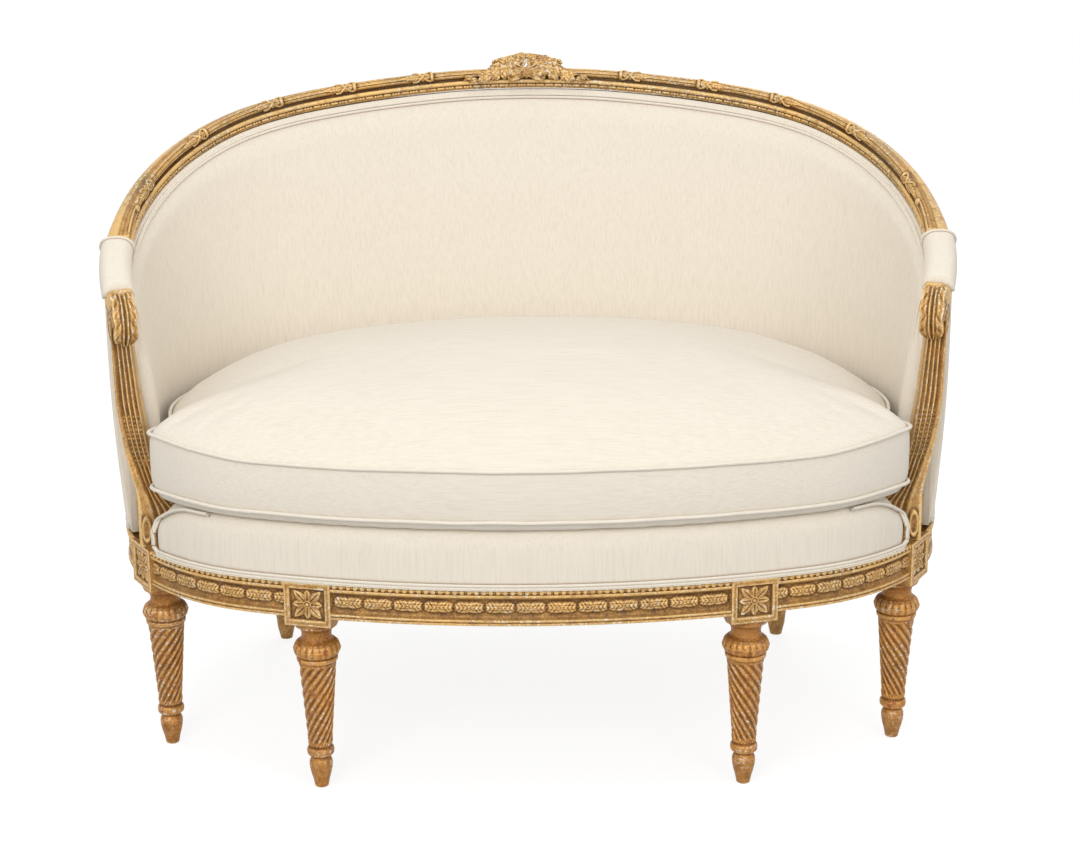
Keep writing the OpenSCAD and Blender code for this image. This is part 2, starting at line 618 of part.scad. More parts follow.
// The lip's ends fall away in round shoulders
shoulder_fall = 40;
shoulder_share = 0.88;
dome_half_x = 500;
dome_half_y = 290;
function dome(x, y) = deck_crown * max(0, 1 - pow(x / dome_half_x, 2) - pow((y - set_y) / dome_half_y, 2));
function steps_between(a, b, n) = [for (i = [0 : n - 1]) lerp(a, b, i / n)];
deck_front_facings = concat(steps_between(-90, -end_angle, 7), steps_between(-end_angle, -lip_end_angle, 8),
    [-lip_end_angle]);
deck_side_facings = concat(steps_between(-24, end_angle, 12), steps_between(end_angle, 90, 6), [90]);
function deck_half() =
    let (rows = support_rows(), inner = rows[0][1] - deck_clear, back = rows[0][4] + deck_clear,
         lip = plan_at(-lip_end_angle, -die_proud), front = set_y + (lip.y - set_y) * inner / lip.x)
    concat([for (q = deck_front_facings) plan_at(q, -die_proud)],
        [[(lip.x + inner) / 2, (lip.y + front) / 2], [inner, front], [inner, (front + back) / 2], [inner, back]],
        [for (q = deck_side_facings) plan_at(q, deck_side_off)]);
function whole_loop(half) = concat(half, [for (i = [len(half) - 2 : -1 : 1]) [-half[i].x, half[i].y]]);
function shrink(p, share) = [p.x * share, set_y + (p.y - set_y) * share];
function fall(x) = let (end = plan_at(-lip_end_angle, -die_proud).x)
    shoulder_fall * pow(clamp01((abs(x) / end - shoulder_share) / (1 - shoulder_share)), 2);
// Rings as [share of the outline, share of the deck's height]
deck_ring_shares = [[0.05, 0], [0.5, 0], [0.985, 0], [0.995, 0.1], [1, 0.35], [1, 0.7], [0.988, 0.92], [0.965, 0.98],
    [0.92, 1], [0.75, 1], [0.55, 1], [0.32, 1], [0.08, 1]];
module seat_deck() {
    loop = whole_loop(deck_half());
    color(linen) loft([for (r = deck_ring_shares) [for (p = loop) let (q = shrink(p, r[0]))
        at_z(q, lerp(rail_top + soft_gap, deck_top - fall(q.x), r[1]) + (r[1] == 1 ? dome(q.x, q.y) : 0))]]);
}
// Welt round the lip: along its foot, up its ends and back along its top
module deck_welt() {
    reach = welt_r + 2 * soft_gap;
    half = [for (q = deck_front_facings) plan_at(q, 0)];
    n = len(half) - 1;
    end = plan_at(-lip_end_angle, reach);
    low = rail_top + welt_r + soft_gap;
    high = deck_top - shoulder_fall - welt_r;
    foot = [for (p = half) at_z(p, low)];
    rise = [for (w = [0.33, 0.67, 1]) at_z(end, lerp(low, high, w))];
    back = [for (i = [0:3]) let (p = plan_at(deck_front_facings[n - i], -welt_r))
        at_z(p, deck_top - welt_r + 2 * soft_gap - fall(p.x))];
    right = concat(foot, rise, back);
    left = [for (p = flip(right)) [-p.x, p.y, p.z]];
    color(linen) tube(concat(left, [for (i = [1 : len(right) - 1]) right[i]]), welt_r);
}

// Arm pads: a rounded pad over the flat on each arm, and a welt round its foot
arm_pad_shares = [[-0.5, 0], [0.5, 0], [0.53, 0.35], [0.44, 0.72], [0.22, 0.95], [-0.22, 0.95], [-0.44, 0.72], [-0.53, 0.35]];
arm_pad_end_shares = [0.62, 0.88, 1, 1, 1, 1, 0.88, 0.62];
arm_pad_place_shares = [0, 0.04, 0.15, 0.4, 0.6, 0.85, 0.96, 1];
pad_flat = crest_h / 2 - pad_seat + soft_gap;
module arm_pad_right() {
    n = len(arm_pad_end_shares) - 1;
    span = pad_s1 - pad_s0 - 2 * soft_gap;
    color(linen) loft([for (i = [0:n]) [for (p = arm_pad_shares) beside(pad_s0 + soft_gap + span * arm_pad_place_shares[i],
        p[0] * arm_pad_w, pad_flat + p[1] * arm_pad_h * arm_pad_end_shares[i])]]);
}
arm_welt_r = 2.2;
module arm_pad_welt_right() {
    out = arm_w / 2 + arm_welt_r + soft_gap;
    s0 = pad_s0 + overrun;
    s1 = pad_s1 - overrun;
    b = pad_flat - arm_welt_r - soft_gap;
    color(linen) for (side = [-1, 1])
        tube([for (i = [0:5]) beside(lerp(s0, s1, i / 5), side * out, b)], arm_welt_r);
}

// Loose cushion: domed, with sides drawn in at two piped seams
cushion_foot = deck_top + soft_gap;
seam_low = cushion_foot + belly_h;
seam_high = seam_low + border_h;
cushion_side_off = -66;
corner_from = -41;
corner_to = -33.5;
function cushion_off(q) = lerp(cushion_overhang, cushion_side_off, ease((q - corner_from) / (corner_to - corner_from)));
cushion_facings = concat(steps_between(-90, -end_angle, 6), steps_between(-end_angle, corner_from - 4, 4),
    steps_between(corner_from - 4, corner_to + 3, 7), steps_between(corner_to + 3, end_angle, 12),
    steps_between(end_angle, 90, 5), [90]);
seam_loop = whole_loop([for (q = cushion_facings) plan_at(q, cushion_off(q))]);
// The loop moved out square to itself
function cushion_loop(out) = let (n = len(seam_loop)) [for (i = [0 : n - 1])
    let (run = unit(seam_loop[(i + 1) % n] - seam_loop[(i + n - 1) % n])) seam_loop[i] + out * [run.y, -run.x]];
// Rings below, between and above the seams
cushion_under_shares = [0.06, 0.4, 0.72, 0.9, 0.975];
cushion_over_shares = [0.985, 0.93, 0.84, 0.7, 0.5, 0.28, 0.06];
// How much of the corners' lift a place in the plan takes
corner_peak = -44;
corner_span = 30;
low_lift_share = 0.3;
function lift(p) = let (q = atan2(p.y - set_y, max(0, abs(p.x) - end_x)))
    corner_lift * ease(1 - abs(q - corner_peak) / corner_span);
// The crown is a quick rise at the edge and a slow dome over the whole, as shares of its height
edge_share = 0.31;
edge_power = 14;
dome_power = 2.1;
function crown(k) = cushion_crown * (edge_share * (1 - pow(k, edge_power)) + (1 - edge_share) * (1 - pow(k, dome_power)));
// The underside clears the deck's dome by swelling a little wider and higher
hollow_share = 1.13;
function toward_middle(p, share) = let (mid = [0, set_y + (seat_half_d + cushion_side_off - front_reach) / 2])
    mid + (p - mid) * share;
function seam_z(p, w) = lerp(seam_low, seam_high, w) + lift(p) * lerp(low_lift_share, 1, w);
module seat_cushion() {
    loop = cushion_loop(-seam_draw);
    full = cushion_loop(-welt_r);
    under = [for (k = cushion_under_shares) [for (p = loop) let (q = toward_middle(p, k))
        at_z(q, cushion_foot + hollow_share * dome(q.x / hollow_share, set_y + (q.y - set_y) / hollow_share))]];
    border = [for (w = [0, 0.3, 0.7, 1]) [for (p = w == 0 || w == 1 ? loop : full) at_z(p, seam_z(p, w))]];
    over = [for (k = cushion_over_shares) [for (p = loop)
        at_z(toward_middle(p, k), seam_high + crown(k) + lift(p) * pow(k, 5))]];
    color(linen) loft(concat(under, border, over));
}
module piping(w) {
    inner = cushion_loop(-seam_draw);
    outer = cushion_loop(-seam_draw + welt_r + soft_gap);
    color(linen) tube([for (i = [0 : len(outer) - 1]) at_z(outer[i], seam_z(inner[i], w))], welt_r, true);
}
module cushion_piping_top() { piping(1); }
module cushion_piping_bottom() { piping(0); }

mirror_x() leg(1);  // leg_front_left
leg(1);  // leg_front_right
mirror_x() leg(2);  // leg_corner_left
leg(2);  // leg_corner_right
mirror_x() leg_back_right();  // leg_back_left
leg_back_right();
rail(0);  // rail_front_centre
mirror_x() rail(1);  // rail_front_left
rail(1);  // rail_front_right
mirror_x() rail(2);  // rail_side_left
rail(2);  // rail_side_right
rail(3);  // rail_back
tenon_pegs();
mirror_x() seat_brace_right();  // seat_brace_left
seat_brace_right();
mirror_x() arm_support_right();  // arm_support_left
arm_support_right();
mirror_x() arm_right();  // arm_left
arm_right();
crest_centre();
mirror_x() crest_right();  // crest_left
crest_right();
lower_back_rail();
mirror_x() lower_side_rail_right();  // lower_side_rail_left
lower_side_rail_right();
seat_webbing();
seat_hessian();
seat_deck();
deck_welt();
back_webbing();
inside_back_pad();
inside_back_welt();
outside_back_cover();
outside_back_welt();
mirror_x() arm_pad_right();  // arm_pad_left
arm_pad_right();
mirror_x() arm_pad_welt_right();  // arm_pad_welt_left
arm_pad_welt_right();
seat_cushion();
cushion_piping_top();
cushion_piping_bottom();
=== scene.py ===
"""Looks of the cabriole sofa: carved and gilded frame, linen upholstery and a loose feather cushion.

Metres, in the frame's own axes: X along the sofa, +Y to its back, +Z up.
"""
import math

import bpy
import numpy as np
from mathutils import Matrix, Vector, noise

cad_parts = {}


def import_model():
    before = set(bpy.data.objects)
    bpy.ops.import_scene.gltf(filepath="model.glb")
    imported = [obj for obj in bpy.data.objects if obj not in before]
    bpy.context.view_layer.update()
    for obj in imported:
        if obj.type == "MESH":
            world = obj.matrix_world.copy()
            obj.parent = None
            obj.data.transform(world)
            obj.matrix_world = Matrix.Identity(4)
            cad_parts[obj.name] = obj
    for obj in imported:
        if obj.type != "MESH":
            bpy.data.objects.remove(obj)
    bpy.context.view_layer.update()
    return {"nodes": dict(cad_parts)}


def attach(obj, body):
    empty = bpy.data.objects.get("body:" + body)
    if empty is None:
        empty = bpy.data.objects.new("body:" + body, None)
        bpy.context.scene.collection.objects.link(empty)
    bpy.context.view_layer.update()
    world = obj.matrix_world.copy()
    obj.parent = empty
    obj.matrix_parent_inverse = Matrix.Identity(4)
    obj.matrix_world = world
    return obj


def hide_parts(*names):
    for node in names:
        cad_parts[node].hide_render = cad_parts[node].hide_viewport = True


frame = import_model()
scene = bpy.context.scene
mm = 0.001
SIDES = ((1, "right"), (-1, "left"))


# Sizes and curves shared with the CAD source
HALF_W, HALF_D, BOW_R = 0.652, 0.396, 1.32
END_R = (HALF_W ** 2 + HALF_D ** 2 - 2 * BOW_R * HALF_D) / (2 * (HALF_W - BOW_R))
END_X = HALF_W - END_R
BOW_Y = BOW_R - HALF_D
BOW_ANGLE = math.atan2(END_X, BOW_Y)
END_ANGLE = math.pi / 2 - BOW_ANGLE
BOW_LEN = BOW_R * BOW_ANGLE
END_LEN = END_R * 2 * END_ANGLE
RAKE, FLARE, OVERHANG = 0.075, 0.011, 0.012
SET_Y = (OVERHANG - RAKE) / 2
RAIL_TOP, RAIL_H = 0.337, 0.055
DIE_W, DIE_Z = 0.072, 0.269
LEG_OFF = 0.001 - DIE_W / 2
FRONT_Q = -math.pi / 2 + BOW_ANGLE * 0.787
CORNER_Q = math.radians(-31)
BACK_Q = math.radians(64)
CREST_TOP, CREST_H, CREST_T = 1.0, 0.034, 0.036
CREST_SHARES = [1, 0.998, 0.991, 0.981, 0.967, 0.944, 0.909, 0.866, 0.816, 0.762, 0.71]
SCROLL_R, SCROLL_W, ARM_W = 0.030, 0.034, 0.040


def clip01(t):
    return np.clip(t, 0, 1)


def ease(t):
    c = clip01(t)
    return c * c * (3 - 2 * c)


def bump(x, centre, half):
    """Half-round ridge of the given half width, 1 at its middle."""
    return np.sqrt(clip01(1 - ((x - centre) / half) ** 2))


def bell(x, centre, half):
    """Soft ridge, 1 at its middle and about a third at the given half width."""
    return np.exp(-((x - centre) / half) ** 2)


def wave(a):
    """0 at each full turn of a and 1 halfway between."""
    return 0.5 - 0.5 * np.cos(a)


def mix(a, b, t):
    return a + (b - a) * t


def spline(a, b, c, d, t):
    """Point a share t of the way from b to c, on a smooth curve through all four."""
    return b + t * (c - a + t * (2 * a - 5 * b + 4 * c - d + t * (3 * (b - c) + d - a))) / 2


def through(shares, u):
    """Smooth curve through evenly spaced shares."""
    shares = np.asarray(shares, float)
    last = len(shares) - 1
    i = np.clip(np.floor(u).astype(int), 0, last - 1)
    return spline(*(shares[np.clip(i + k, 0, last)] for k in (-1, 0, 1, 2)), u - i)


def oval(q, off):
    """Plan points off metres outside the oval where its edge faces q, for the right half."""
    q, off = np.broadcast_arrays(np.asarray(q, float), np.asarray(off, float))
    front = q < -END_ANGLE
    back = q > END_ANGLE
    cx = np.where(front | back, 0, END_X)
    cy = np.where(front, BOW_Y, np.where(back, -BOW_Y, 0))
    r = np.where(front | back, BOW_R, END_R) + off
    return np.stack([cx + r * np.cos(q), SET_Y + cy + r * np.sin(q)], -1)


def facing(s):
    a = np.abs(s)
    return np.where(a <= BOW_LEN, math.pi / 2 - a / BOW_R,
                    np.where(a <= BOW_LEN + END_LEN, END_ANGLE - (a - BOW_LEN) / END_R,
                             -END_ANGLE - (a - BOW_LEN - END_LEN) / BOW_R))


def length_at(q):
    if q >= END_ANGLE:
        return (math.pi / 2 - q) * BOW_R
    if q >= -END_ANGLE:
        return BOW_LEN + (END_ANGLE - q) * END_R
    return BOW_LEN + END_LEN + (-END_ANGLE - q) * BOW_R


ARM_REACH = length_at(CORNER_Q) - 0.033
SCROLL_S = ARM_REACH - SCROLL_R * 2 / 3
PAD_S1 = SCROLL_S - SCROLL_R * 0.8
PAD_S0 = PAD_S1 - 0.105
ARM_JOINT = PAD_S0 - 0.071
CREST_JOINT = length_at(BACK_Q) + 0.052


def side_of(s):
    return np.where(np.asarray(s) < 0, -1.0, 1.0)


def plan(s, off):
    p = oval(facing(s), off)
    p[..., 0] *= np.broadcast_to(side_of(s), p.shape[:-1])
    return p


def outward(s):
    q = facing(s)
    return np.stack([side_of(s) * np.cos(q), np.sin(q), np.zeros_like(q)], -1)


def top_z(s):
    return CREST_TOP * through(CREST_SHARES, clip01(np.abs(s) / ARM_REACH) * 10)


def crest_off(s):
    return mix(FLARE, RAKE, (1 + np.cos(math.pi * clip01(np.abs(s) / (BOW_LEN + END_LEN / 2)))) / 2)


def with_z(p, z):
    return np.concatenate([p, np.broadcast_to(z, p.shape[:-1])[..., None]], -1)


def spine(s):
    """Middle of the crest at length s, which runs from the middle of the back to its right."""
    s = np.asarray(s, float)
    return with_z(plan(s, crest_off(s) - CREST_T / 2), top_z(s) - CREST_H / 2)


def unit(v):
    return v / np.linalg.norm(v, axis=-1, keepdims=True)


def along(s):
    return unit(spine(s + 0.002) - spine(s - 0.002))


def crest_axes(s):
    """Outward and upward directions, square to the crest's run and leaning with the back."""
    out = outward(s)
    up = unit(np.cross(along(s), out))
    lean = np.arctan2(crest_off(s), top_z(s) - RAIL_TOP)[..., None]
    return np.cos(lean) * out - np.sin(lean) * up, np.cos(lean) * up + np.sin(lean) * out


def beside(s, n, b):
    """Points n outward and b upward of the crest's spine. n and b may have one more axis than s."""
    s = np.asarray(s, float)
    n, b = np.asarray(n, float), np.asarray(b, float)
    c = spine(s)
    across, up = crest_axes(s)
    while c.ndim < n.ndim + 1:
        c, across, up = c[..., None, :], across[..., None, :], up[..., None, :]
    return c + n[..., None] * across + b[..., None] * up


# Meshes
def volume(points, quads, tris):
    total = 0.0
    for a, b, c in ([quads[:, [0, 1, 2]].T, quads[:, [0, 2, 3]].T] if len(quads) else []) + (
            [tris.T] if len(tris) else []):
        total += np.einsum("ij,ij->i", points[a], np.cross(points[b], points[c])).sum()
    return total


def mesh_piece(name, points, quads=(), tris=(), cavity=None):
    """A mesh object whose faces all look outward. cavity is +1 on ridges and -1 in recesses; the gildings
    paint shade in recesses and a highlight and real wear on ridges from it.
    """
    points = np.asarray(points, float).reshape(-1, 3)
    quads = np.asarray(quads, np.int64).reshape(-1, 4)
    tris = np.asarray(tris, np.int64).reshape(-1, 3)
    if volume(points, quads, tris) < 0:
        quads, tris = quads[:, ::-1], tris[:, ::-1]
    mesh = bpy.data.meshes.new(name)
    mesh.vertices.add(len(points))
    mesh.vertices.foreach_set("co", points.astype(np.float32).ravel())
    mesh.loops.add(quads.size + tris.size)
    mesh.loops.foreach_set("vertex_index", np.concatenate([quads.ravel(), tris.ravel()]).astype(np.int32))
    mesh.polygons.add(len(quads) + len(tris))
    starts = np.concatenate([np.arange(len(quads)) * 4, quads.size + np.arange(len(tris)) * 3])
    mesh.polygons.foreach_set("loop_start", starts.astype(np.int32))
    mesh.update(calc_edges=True)
    mesh.polygons.foreach_set("use_smooth", np.ones(len(mesh.polygons), bool))
    if cavity is not None:
        mesh.attributes.new("cavity", "FLOAT", "POINT").data.foreach_set(
            "value", np.clip(np.asarray(cavity, float).ravel(), -1, 1).astype(np.float32))
    piece = bpy.data.objects.new(name, mesh)
    scene.collection.objects.link(piece)
    return piece


def grid_quads(rows, columns, wrap_rows=False, wrap_columns=True):
    i = np.arange(rows if wrap_rows else rows - 1)[:, None]
    j = np.arange(columns if wrap_columns else columns - 1)[None, :]
    i2, j2 = (i + 1) % rows, (j + 1) % columns
    corners = (i * columns + j, i2 * columns + j, i2 * columns + j2, i * columns + j2)
    return np.stack(np.broadcast_arrays(*corners), -1).reshape(-1, 4)


def blur(values, reach, axis, wrap):
    """Mean over 2 * reach + 1 samples, run twice."""
    for _ in range(2):
        pads = [(0, 0)] * values.ndim
        pads[axis] = (reach + 1, reach)
        total = np.cumsum(np.pad(values, pads, mode="wrap" if wrap else "edge"), axis)
        n = values.shape[axis]
        values = (np.take(total, np.arange(2 * reach + 1, 2 * reach + 1 + n), axis)
                  - np.take(total, np.arange(n), axis)) / (2 * reach + 1)
    return values


def grid_cavity(grid, reach=(3, 3), wrap=(False, True), scale=0.7 * mm):
    """How far each point of a grid stands out from its surroundings, as a share of scale."""
    smooth = grid
    for axis in (0, 1):
        smooth = blur(smooth, reach[axis], axis, wrap[axis])
    run = np.gradient(smooth, axis=0)
    across = (np.roll(smooth, -1, 1) - np.roll(smooth, 1, 1)) if wrap[1] else np.gradient(smooth, axis=1)
    normal = np.cross(run, across)
    normal /= np.linalg.norm(normal, axis=-1, keepdims=True) + 1e-12
    facing_out = np.sign(np.einsum("ijk,ijk->", smooth - smooth.mean(1, keepdims=True), normal))
    return facing_out * np.einsum("ijk,ijk->ij", grid - smooth, normal) / scale


def sweep_faces(grid):
    """Points and outward faces of one closed sweep."""
    rows, columns = grid.shape[:2]
    points = np.concatenate([grid.reshape(-1, 3), [grid[0].mean(0)], [grid[-1].mean(0)]])
    j = np.arange(columns)
    k = (j + 1) % columns
    first = np.stack([np.full(columns, rows * columns), j, k], -1)
    last = np.stack([np.full(columns, rows * columns + 1), (rows - 1) * columns + k,
                     (rows - 1) * columns + j], -1)
    quads, tris = grid_quads(rows, columns), np.concatenate([first, last])
    if volume(points, quads, tris) < 0:
        quads, tris = quads[:, ::-1], tris[:, ::-1]
    return points, quads, tris


def joined_sweeps(name, grids, carved=True, reach=(3, 3), scale=0.7 * mm):
    """Several closed sweeps in one mesh."""
    points, quads, tris, cavity, count = [], [], [], [], 0
    for grid in grids:
        p, q, f = sweep_faces(grid)
        points.append(p)
        quads.append(q + count)
        tris.append(f + count)
        if carved:
            cavity.append(np.append(grid_cavity(grid, reach, scale=scale), [0, 0]))
        count += len(p)
    return mesh_piece(name, np.concatenate(points), np.concatenate(quads), np.concatenate(tris),
                      np.concatenate(cavity) if carved else None)


def closed_sweep(name, grid, carved=False, reach=(3, 3), scale=0.7 * mm):
    """Rings joined into a tube whose two ends are closed. grid is rings by points by 3."""
    return joined_sweeps(name, [grid], carved, reach, scale)


def arc(cx, cy, r, start, end, n):
    a = np.radians(np.linspace(start, end, n))
    return np.stack([cx + r * np.cos(a), cy + r * np.sin(a)], -1)


def ring_normals(ring):
    t = np.roll(ring, -1, 0) - np.roll(ring, 1, 0)
    n = np.stack([-t[:, 1], t[:, 0]], -1)
    return n / (np.linalg.norm(n, axis=1, keepdims=True) + 1e-12)


def smooth_path(points, pitch):
    """Points about a pitch apart on a smooth curve through the given ones."""
    points = np.asarray(points, float)
    points = np.concatenate([[2 * points[0] - points[1]], points, [2 * points[-1] - points[-2]]])
    out = []
    for k in range(1, len(points) - 2):
        n = max(2, int(np.linalg.norm(points[k + 1] - points[k]) / pitch))
        out.append(spline(*points[k - 1:k + 3], (np.arange(n) / n)[:, None]))
    return np.concatenate(out + [points[-2:-1]])


def distances(points):
    """Length along a path at each of its points."""
    return np.concatenate([[0], np.cumsum(np.linalg.norm(np.diff(points, axis=0), axis=1))])


def at_distances(points, d, t):
    return np.stack([np.interp(t, d, points[:, 0]), np.interp(t, d, points[:, 1])], -1)


def resample(knots, pitch):
    knots = np.asarray(knots, float)
    d = distances(knots)
    return at_distances(knots, d, np.linspace(0, d[-1], int(d[-1] / pitch) + 1))


def even_loop(half, count):
    """A right-hand outline and its mirror image as one closed loop of evenly spaced points."""
    loop = np.concatenate([half, (half[1:-1] * [-1, 1])[::-1], half[:1]])
    d = distances(loop)
    even = at_distances(loop, d, np.linspace(0, d[-1], count + 1)[:-1])
    return blur(even[:, None], 2, 0, True)[:, 0]


def steps(a, b, pitch):
    return np.linspace(a, b, max(2, int(round(abs(b - a) / pitch)) + 1))


def turns(count):
    """Angles of a full turn, without its end."""
    return np.linspace(0, 2 * math.pi, count + 1)[:-1]


# Materials
def node(tree, kind, inputs=None, **settings):
    made = tree.nodes.new(kind)
    for key, value in settings.items():
        setattr(made, key, value)
    for key, value in (inputs or {}).items():
        if isinstance(value, bpy.types.NodeSocket):
            tree.links.new(value, made.inputs[key])
        else:
            made.inputs[key].default_value = value
    return made


def math_node(tree, operation, a, b, clamp=False):
    return node(tree, "ShaderNodeMath", {0: a, 1: b}, operation=operation, use_clamp=clamp).outputs[0]


def times(tree, a, b, clamp=False):
    return math_node(tree, "MULTIPLY", a, b, clamp)


def plus(tree, a, b):
    return math_node(tree, "ADD", a, b)


def colour_mix(tree, share, a, b):
    made = node(tree, "ShaderNodeMix", {0: share}, data_type="RGBA")
    for socket, value in ((6, a), (7, b)):
        if isinstance(value, bpy.types.NodeSocket):
            tree.links.new(value, made.inputs[socket])
        else:
            made.inputs[socket].default_value = (*value, 1)
    return made.outputs[2]


def ramp(tree, value, stops):
    made = node(tree, "ShaderNodeValToRGB", {0: value})
    marks = made.color_ramp.elements
    while len(marks) < len(stops):
        marks.new(0.5)
    for mark, (place, colour) in zip(marks, stops):
        mark.position = place
        mark.color = (*colour, 1)
    return made.outputs[0]


def step(tree, value, start, end):
    return node(tree, "ShaderNodeMapRange", {0: value, 1: start, 2: end, 3: 0.0, 4: 1.0}).outputs[0]


def new_material(name):
    material = bpy.data.materials.new(name)
    material.use_nodes = True
    tree = material.node_tree
    tree.nodes.clear()
    shader = node(tree, "ShaderNodeBsdfPrincipled")
    node(tree, "ShaderNodeOutputMaterial", {"Surface": shader.outputs[0]})
    return material, tree, shader


def finish_shader(tree, shader, colour, height, strength, distance, **constants):
    """Colour and bump of a surface, and its shader's constants, with an underscore for each space."""
    tree.links.new(colour, shader.inputs["Base Color"])
    for key, value in constants.items():
        shader.inputs[key.replace("_", " ")].default_value = value
    raised = node(tree, "ShaderNodeBump", {"Height": height, "Strength": strength, "Distance": distance})
    tree.links.new(raised.outputs[0], shader.inputs["Normal"])


def noise_at(tree, where, scale, detail=2.0, roughness=0.5, stretch=None):
    if stretch:
        where = node(tree, "ShaderNodeMapping", {"Vector": where, "Scale": stretch}).outputs[0]
    return node(tree, "ShaderNodeTexNoise", {"Vector": where, "Scale": scale, "Detail": detail,
                                             "Roughness": roughness}).outputs[0]


# Gilding ramp from the painted shade of recesses through gold to the painted highlight of ridges; GREENISH,
# BOLE and GESSO are the gilding's own tones
PAINTED_RECESS_SHADE = (0.080, 0.034, 0.010)
SHADE = (0.210, 0.098, 0.028)
GOLD = (0.430, 0.225, 0.066)
PAINTED_HIGHLIGHT = (0.760, 0.500, 0.200)
GREENISH = (0.230, 0.160, 0.070)
BOLE = (0.300, 0.095, 0.040)
GESSO = (0.800, 0.720, 0.590)


def gilding(name, wear=0.5, bole=0.5, chips=0.5, greenish_share=0.4, depth=0.5, warm=(1.0, 1.0, 1.0)):
    """Worn gilding with painted shade in its recesses and a painted highlight on its ridges, where red bole
    and white gesso show as real wear.
    """
    material, tree, shader = new_material(name)
    where = node(tree, "ShaderNodeTexCoord").outputs["Object"]
    relief = node(tree, "ShaderNodeAttribute", attribute_name="cavity").outputs["Fac"]
    broad = noise_at(tree, where, 16.0, 3.0)
    patch = noise_at(tree, where, 55.0, 4.0, 0.6)
    fine = noise_at(tree, where, 330.0, 4.0, 0.65)
    speck = noise_at(tree, where, 210.0, 4.0, 0.6)
    uneven = times(tree, math_node(tree, "SUBTRACT", fine, 0.5), 0.9)
    # Relief times depth darkens recesses and lightens ridges: painted shade and painted highlight, over
    # random tone from the noises
    level = plus(tree, times(tree, relief, depth), uneven)
    level = plus(tree, plus(tree, level, times(tree, patch, 0.7)), 0.16)
    tones = [tuple(c * w for c, w in zip(tone, warm)) for tone in (PAINTED_RECESS_SHADE, SHADE, GOLD, PAINTED_HIGHLIGHT)]
    gold = ramp(tree, level, list(zip((0.04, 0.28, 0.52, 0.88), tones)))
    # Greenish tint in random broad patches; the crest's copy uses more of it as a painted lighting tone
    gold = colour_mix(tree, times(tree, step(tree, broad, 0.40, 0.72), greenish_share), gold, GREENISH)
    red = times(tree, step(tree, patch, 0.56, 0.66), step(tree, relief, -0.2, 0.35))
    gold = colour_mix(tree, times(tree, red, bole), gold, BOLE)
    loss = times(tree, step(tree, speck, 0.545, 0.60), step(tree, relief, 0.10, 0.40))
    loss = times(tree, times(tree, loss, step(tree, broad, 0.38, 0.60)), chips, clamp=True)
    gold = colour_mix(tree, loss, gold, GESSO)
    sheen = times(tree, step(tree, level, 0.2, 0.7), mix(0.62, 0.4, wear))
    metal = times(tree, sheen, math_node(tree, "SUBTRACT", 1.0, loss), clamp=True)
    tree.links.new(metal, shader.inputs["Metallic"])
    rough = math_node(tree, "MULTIPLY_ADD", patch, 0.3, clamp=True)
    rough.node.inputs[2].default_value = 0.30
    tree.links.new(rough, shader.inputs["Roughness"])
    finish_shader(tree, shader, gold, fine, 0.35, 0.0008, Specular_IOR_Level=0.22)
    return material


def linen_cloth(name, colour, threads):
    """Natural linen. threads is the direction of its heavier threads: 'up' or 'across'."""
    material, tree, shader = new_material(name)
    where = node(tree, "ShaderNodeTexCoord").outputs["Object"]
    long_way = (1.0, 1.0, 0.035) if threads == "up" else (0.035, 1.0, 1.0)
    short_way = (0.06, 0.06, 1.0) if threads == "up" else (1.0, 0.06, 0.06)
    slubs = noise_at(tree, where, 420.0, 2.0, 0.5, long_way)
    warp = noise_at(tree, where, 1500.0, 1.0, 0.5, long_way)
    weft = noise_at(tree, where, 1500.0, 1.0, 0.5, short_way)
    tone = noise_at(tree, where, 9.0, 2.0)
    pale = tuple(min(1.0, c * 1.055) for c in colour)
    dark = tuple(c * t for c, t in zip(colour, (0.90, 0.885, 0.86)))
    body = ramp(tree, slubs, [(0.25, dark), (0.5, colour), (0.72, pale)])
    weave = ramp(tree, times(tree, warp, weft), [(0.10, tuple(c * 0.92 for c in colour)), (0.42, pale)])
    body = colour_mix(tree, 0.35, body, weave)
    body = colour_mix(tree, times(tree, tone, 0.125), body, dark)
    raised = plus(tree, times(tree, warp, 0.5), times(tree, weft, 0.5))
    finish_shader(tree, shader, body, plus(tree, times(tree, slubs, 0.8), raised), 0.35, 0.0006,
                  Roughness=0.92, Specular_IOR_Level=0.2, Sheen_Weight=0.12, Sheen_Roughness=0.5)
    return material


def plain_wood(name, dark, pale):
    material, tree, shader = new_material(name)
    where = node(tree, "ShaderNodeTexCoord").outputs["Object"]
    grain = noise_at(tree, where, 60.0, 5.0, 0.6, (0.06, 1.0, 1.0))
    pores = noise_at(tree, where, 700.0, 2.0, 0.5, (0.05, 1.0, 1.0))
    wood = ramp(tree, grain, [(0.3, dark), (0.65, pale)])
    wood = colour_mix(tree, times(tree, step(tree, pores, 0.55, 0.7), 0.5), wood, dark)
    finish_shader(tree, shader, wood, pores, 0.3, 0.0005, Roughness=0.65)
    return material


def jute_cloth(name):
    material, tree, shader = new_material(name)
    where = node(tree, "ShaderNodeTexCoord").outputs["Object"]
    warp, weft = (node(tree, "ShaderNodeTexWave", {"Vector": where, "Scale": 180.0, "Distortion": 1.5},
                       bands_direction=way).outputs[1] for way in "XY")
    weave = times(tree, warp, weft)
    fuzz = noise_at(tree, where, 300.0, 3.0)
    body = ramp(tree, plus(tree, times(tree, weave, 0.6), times(tree, fuzz, 0.5)),
                [(0.2, (0.16, 0.10, 0.05)), (0.6, (0.42, 0.30, 0.17))])
    finish_shader(tree, shader, body, weave, 0.6, 0.0008, Roughness=0.95)
    return material


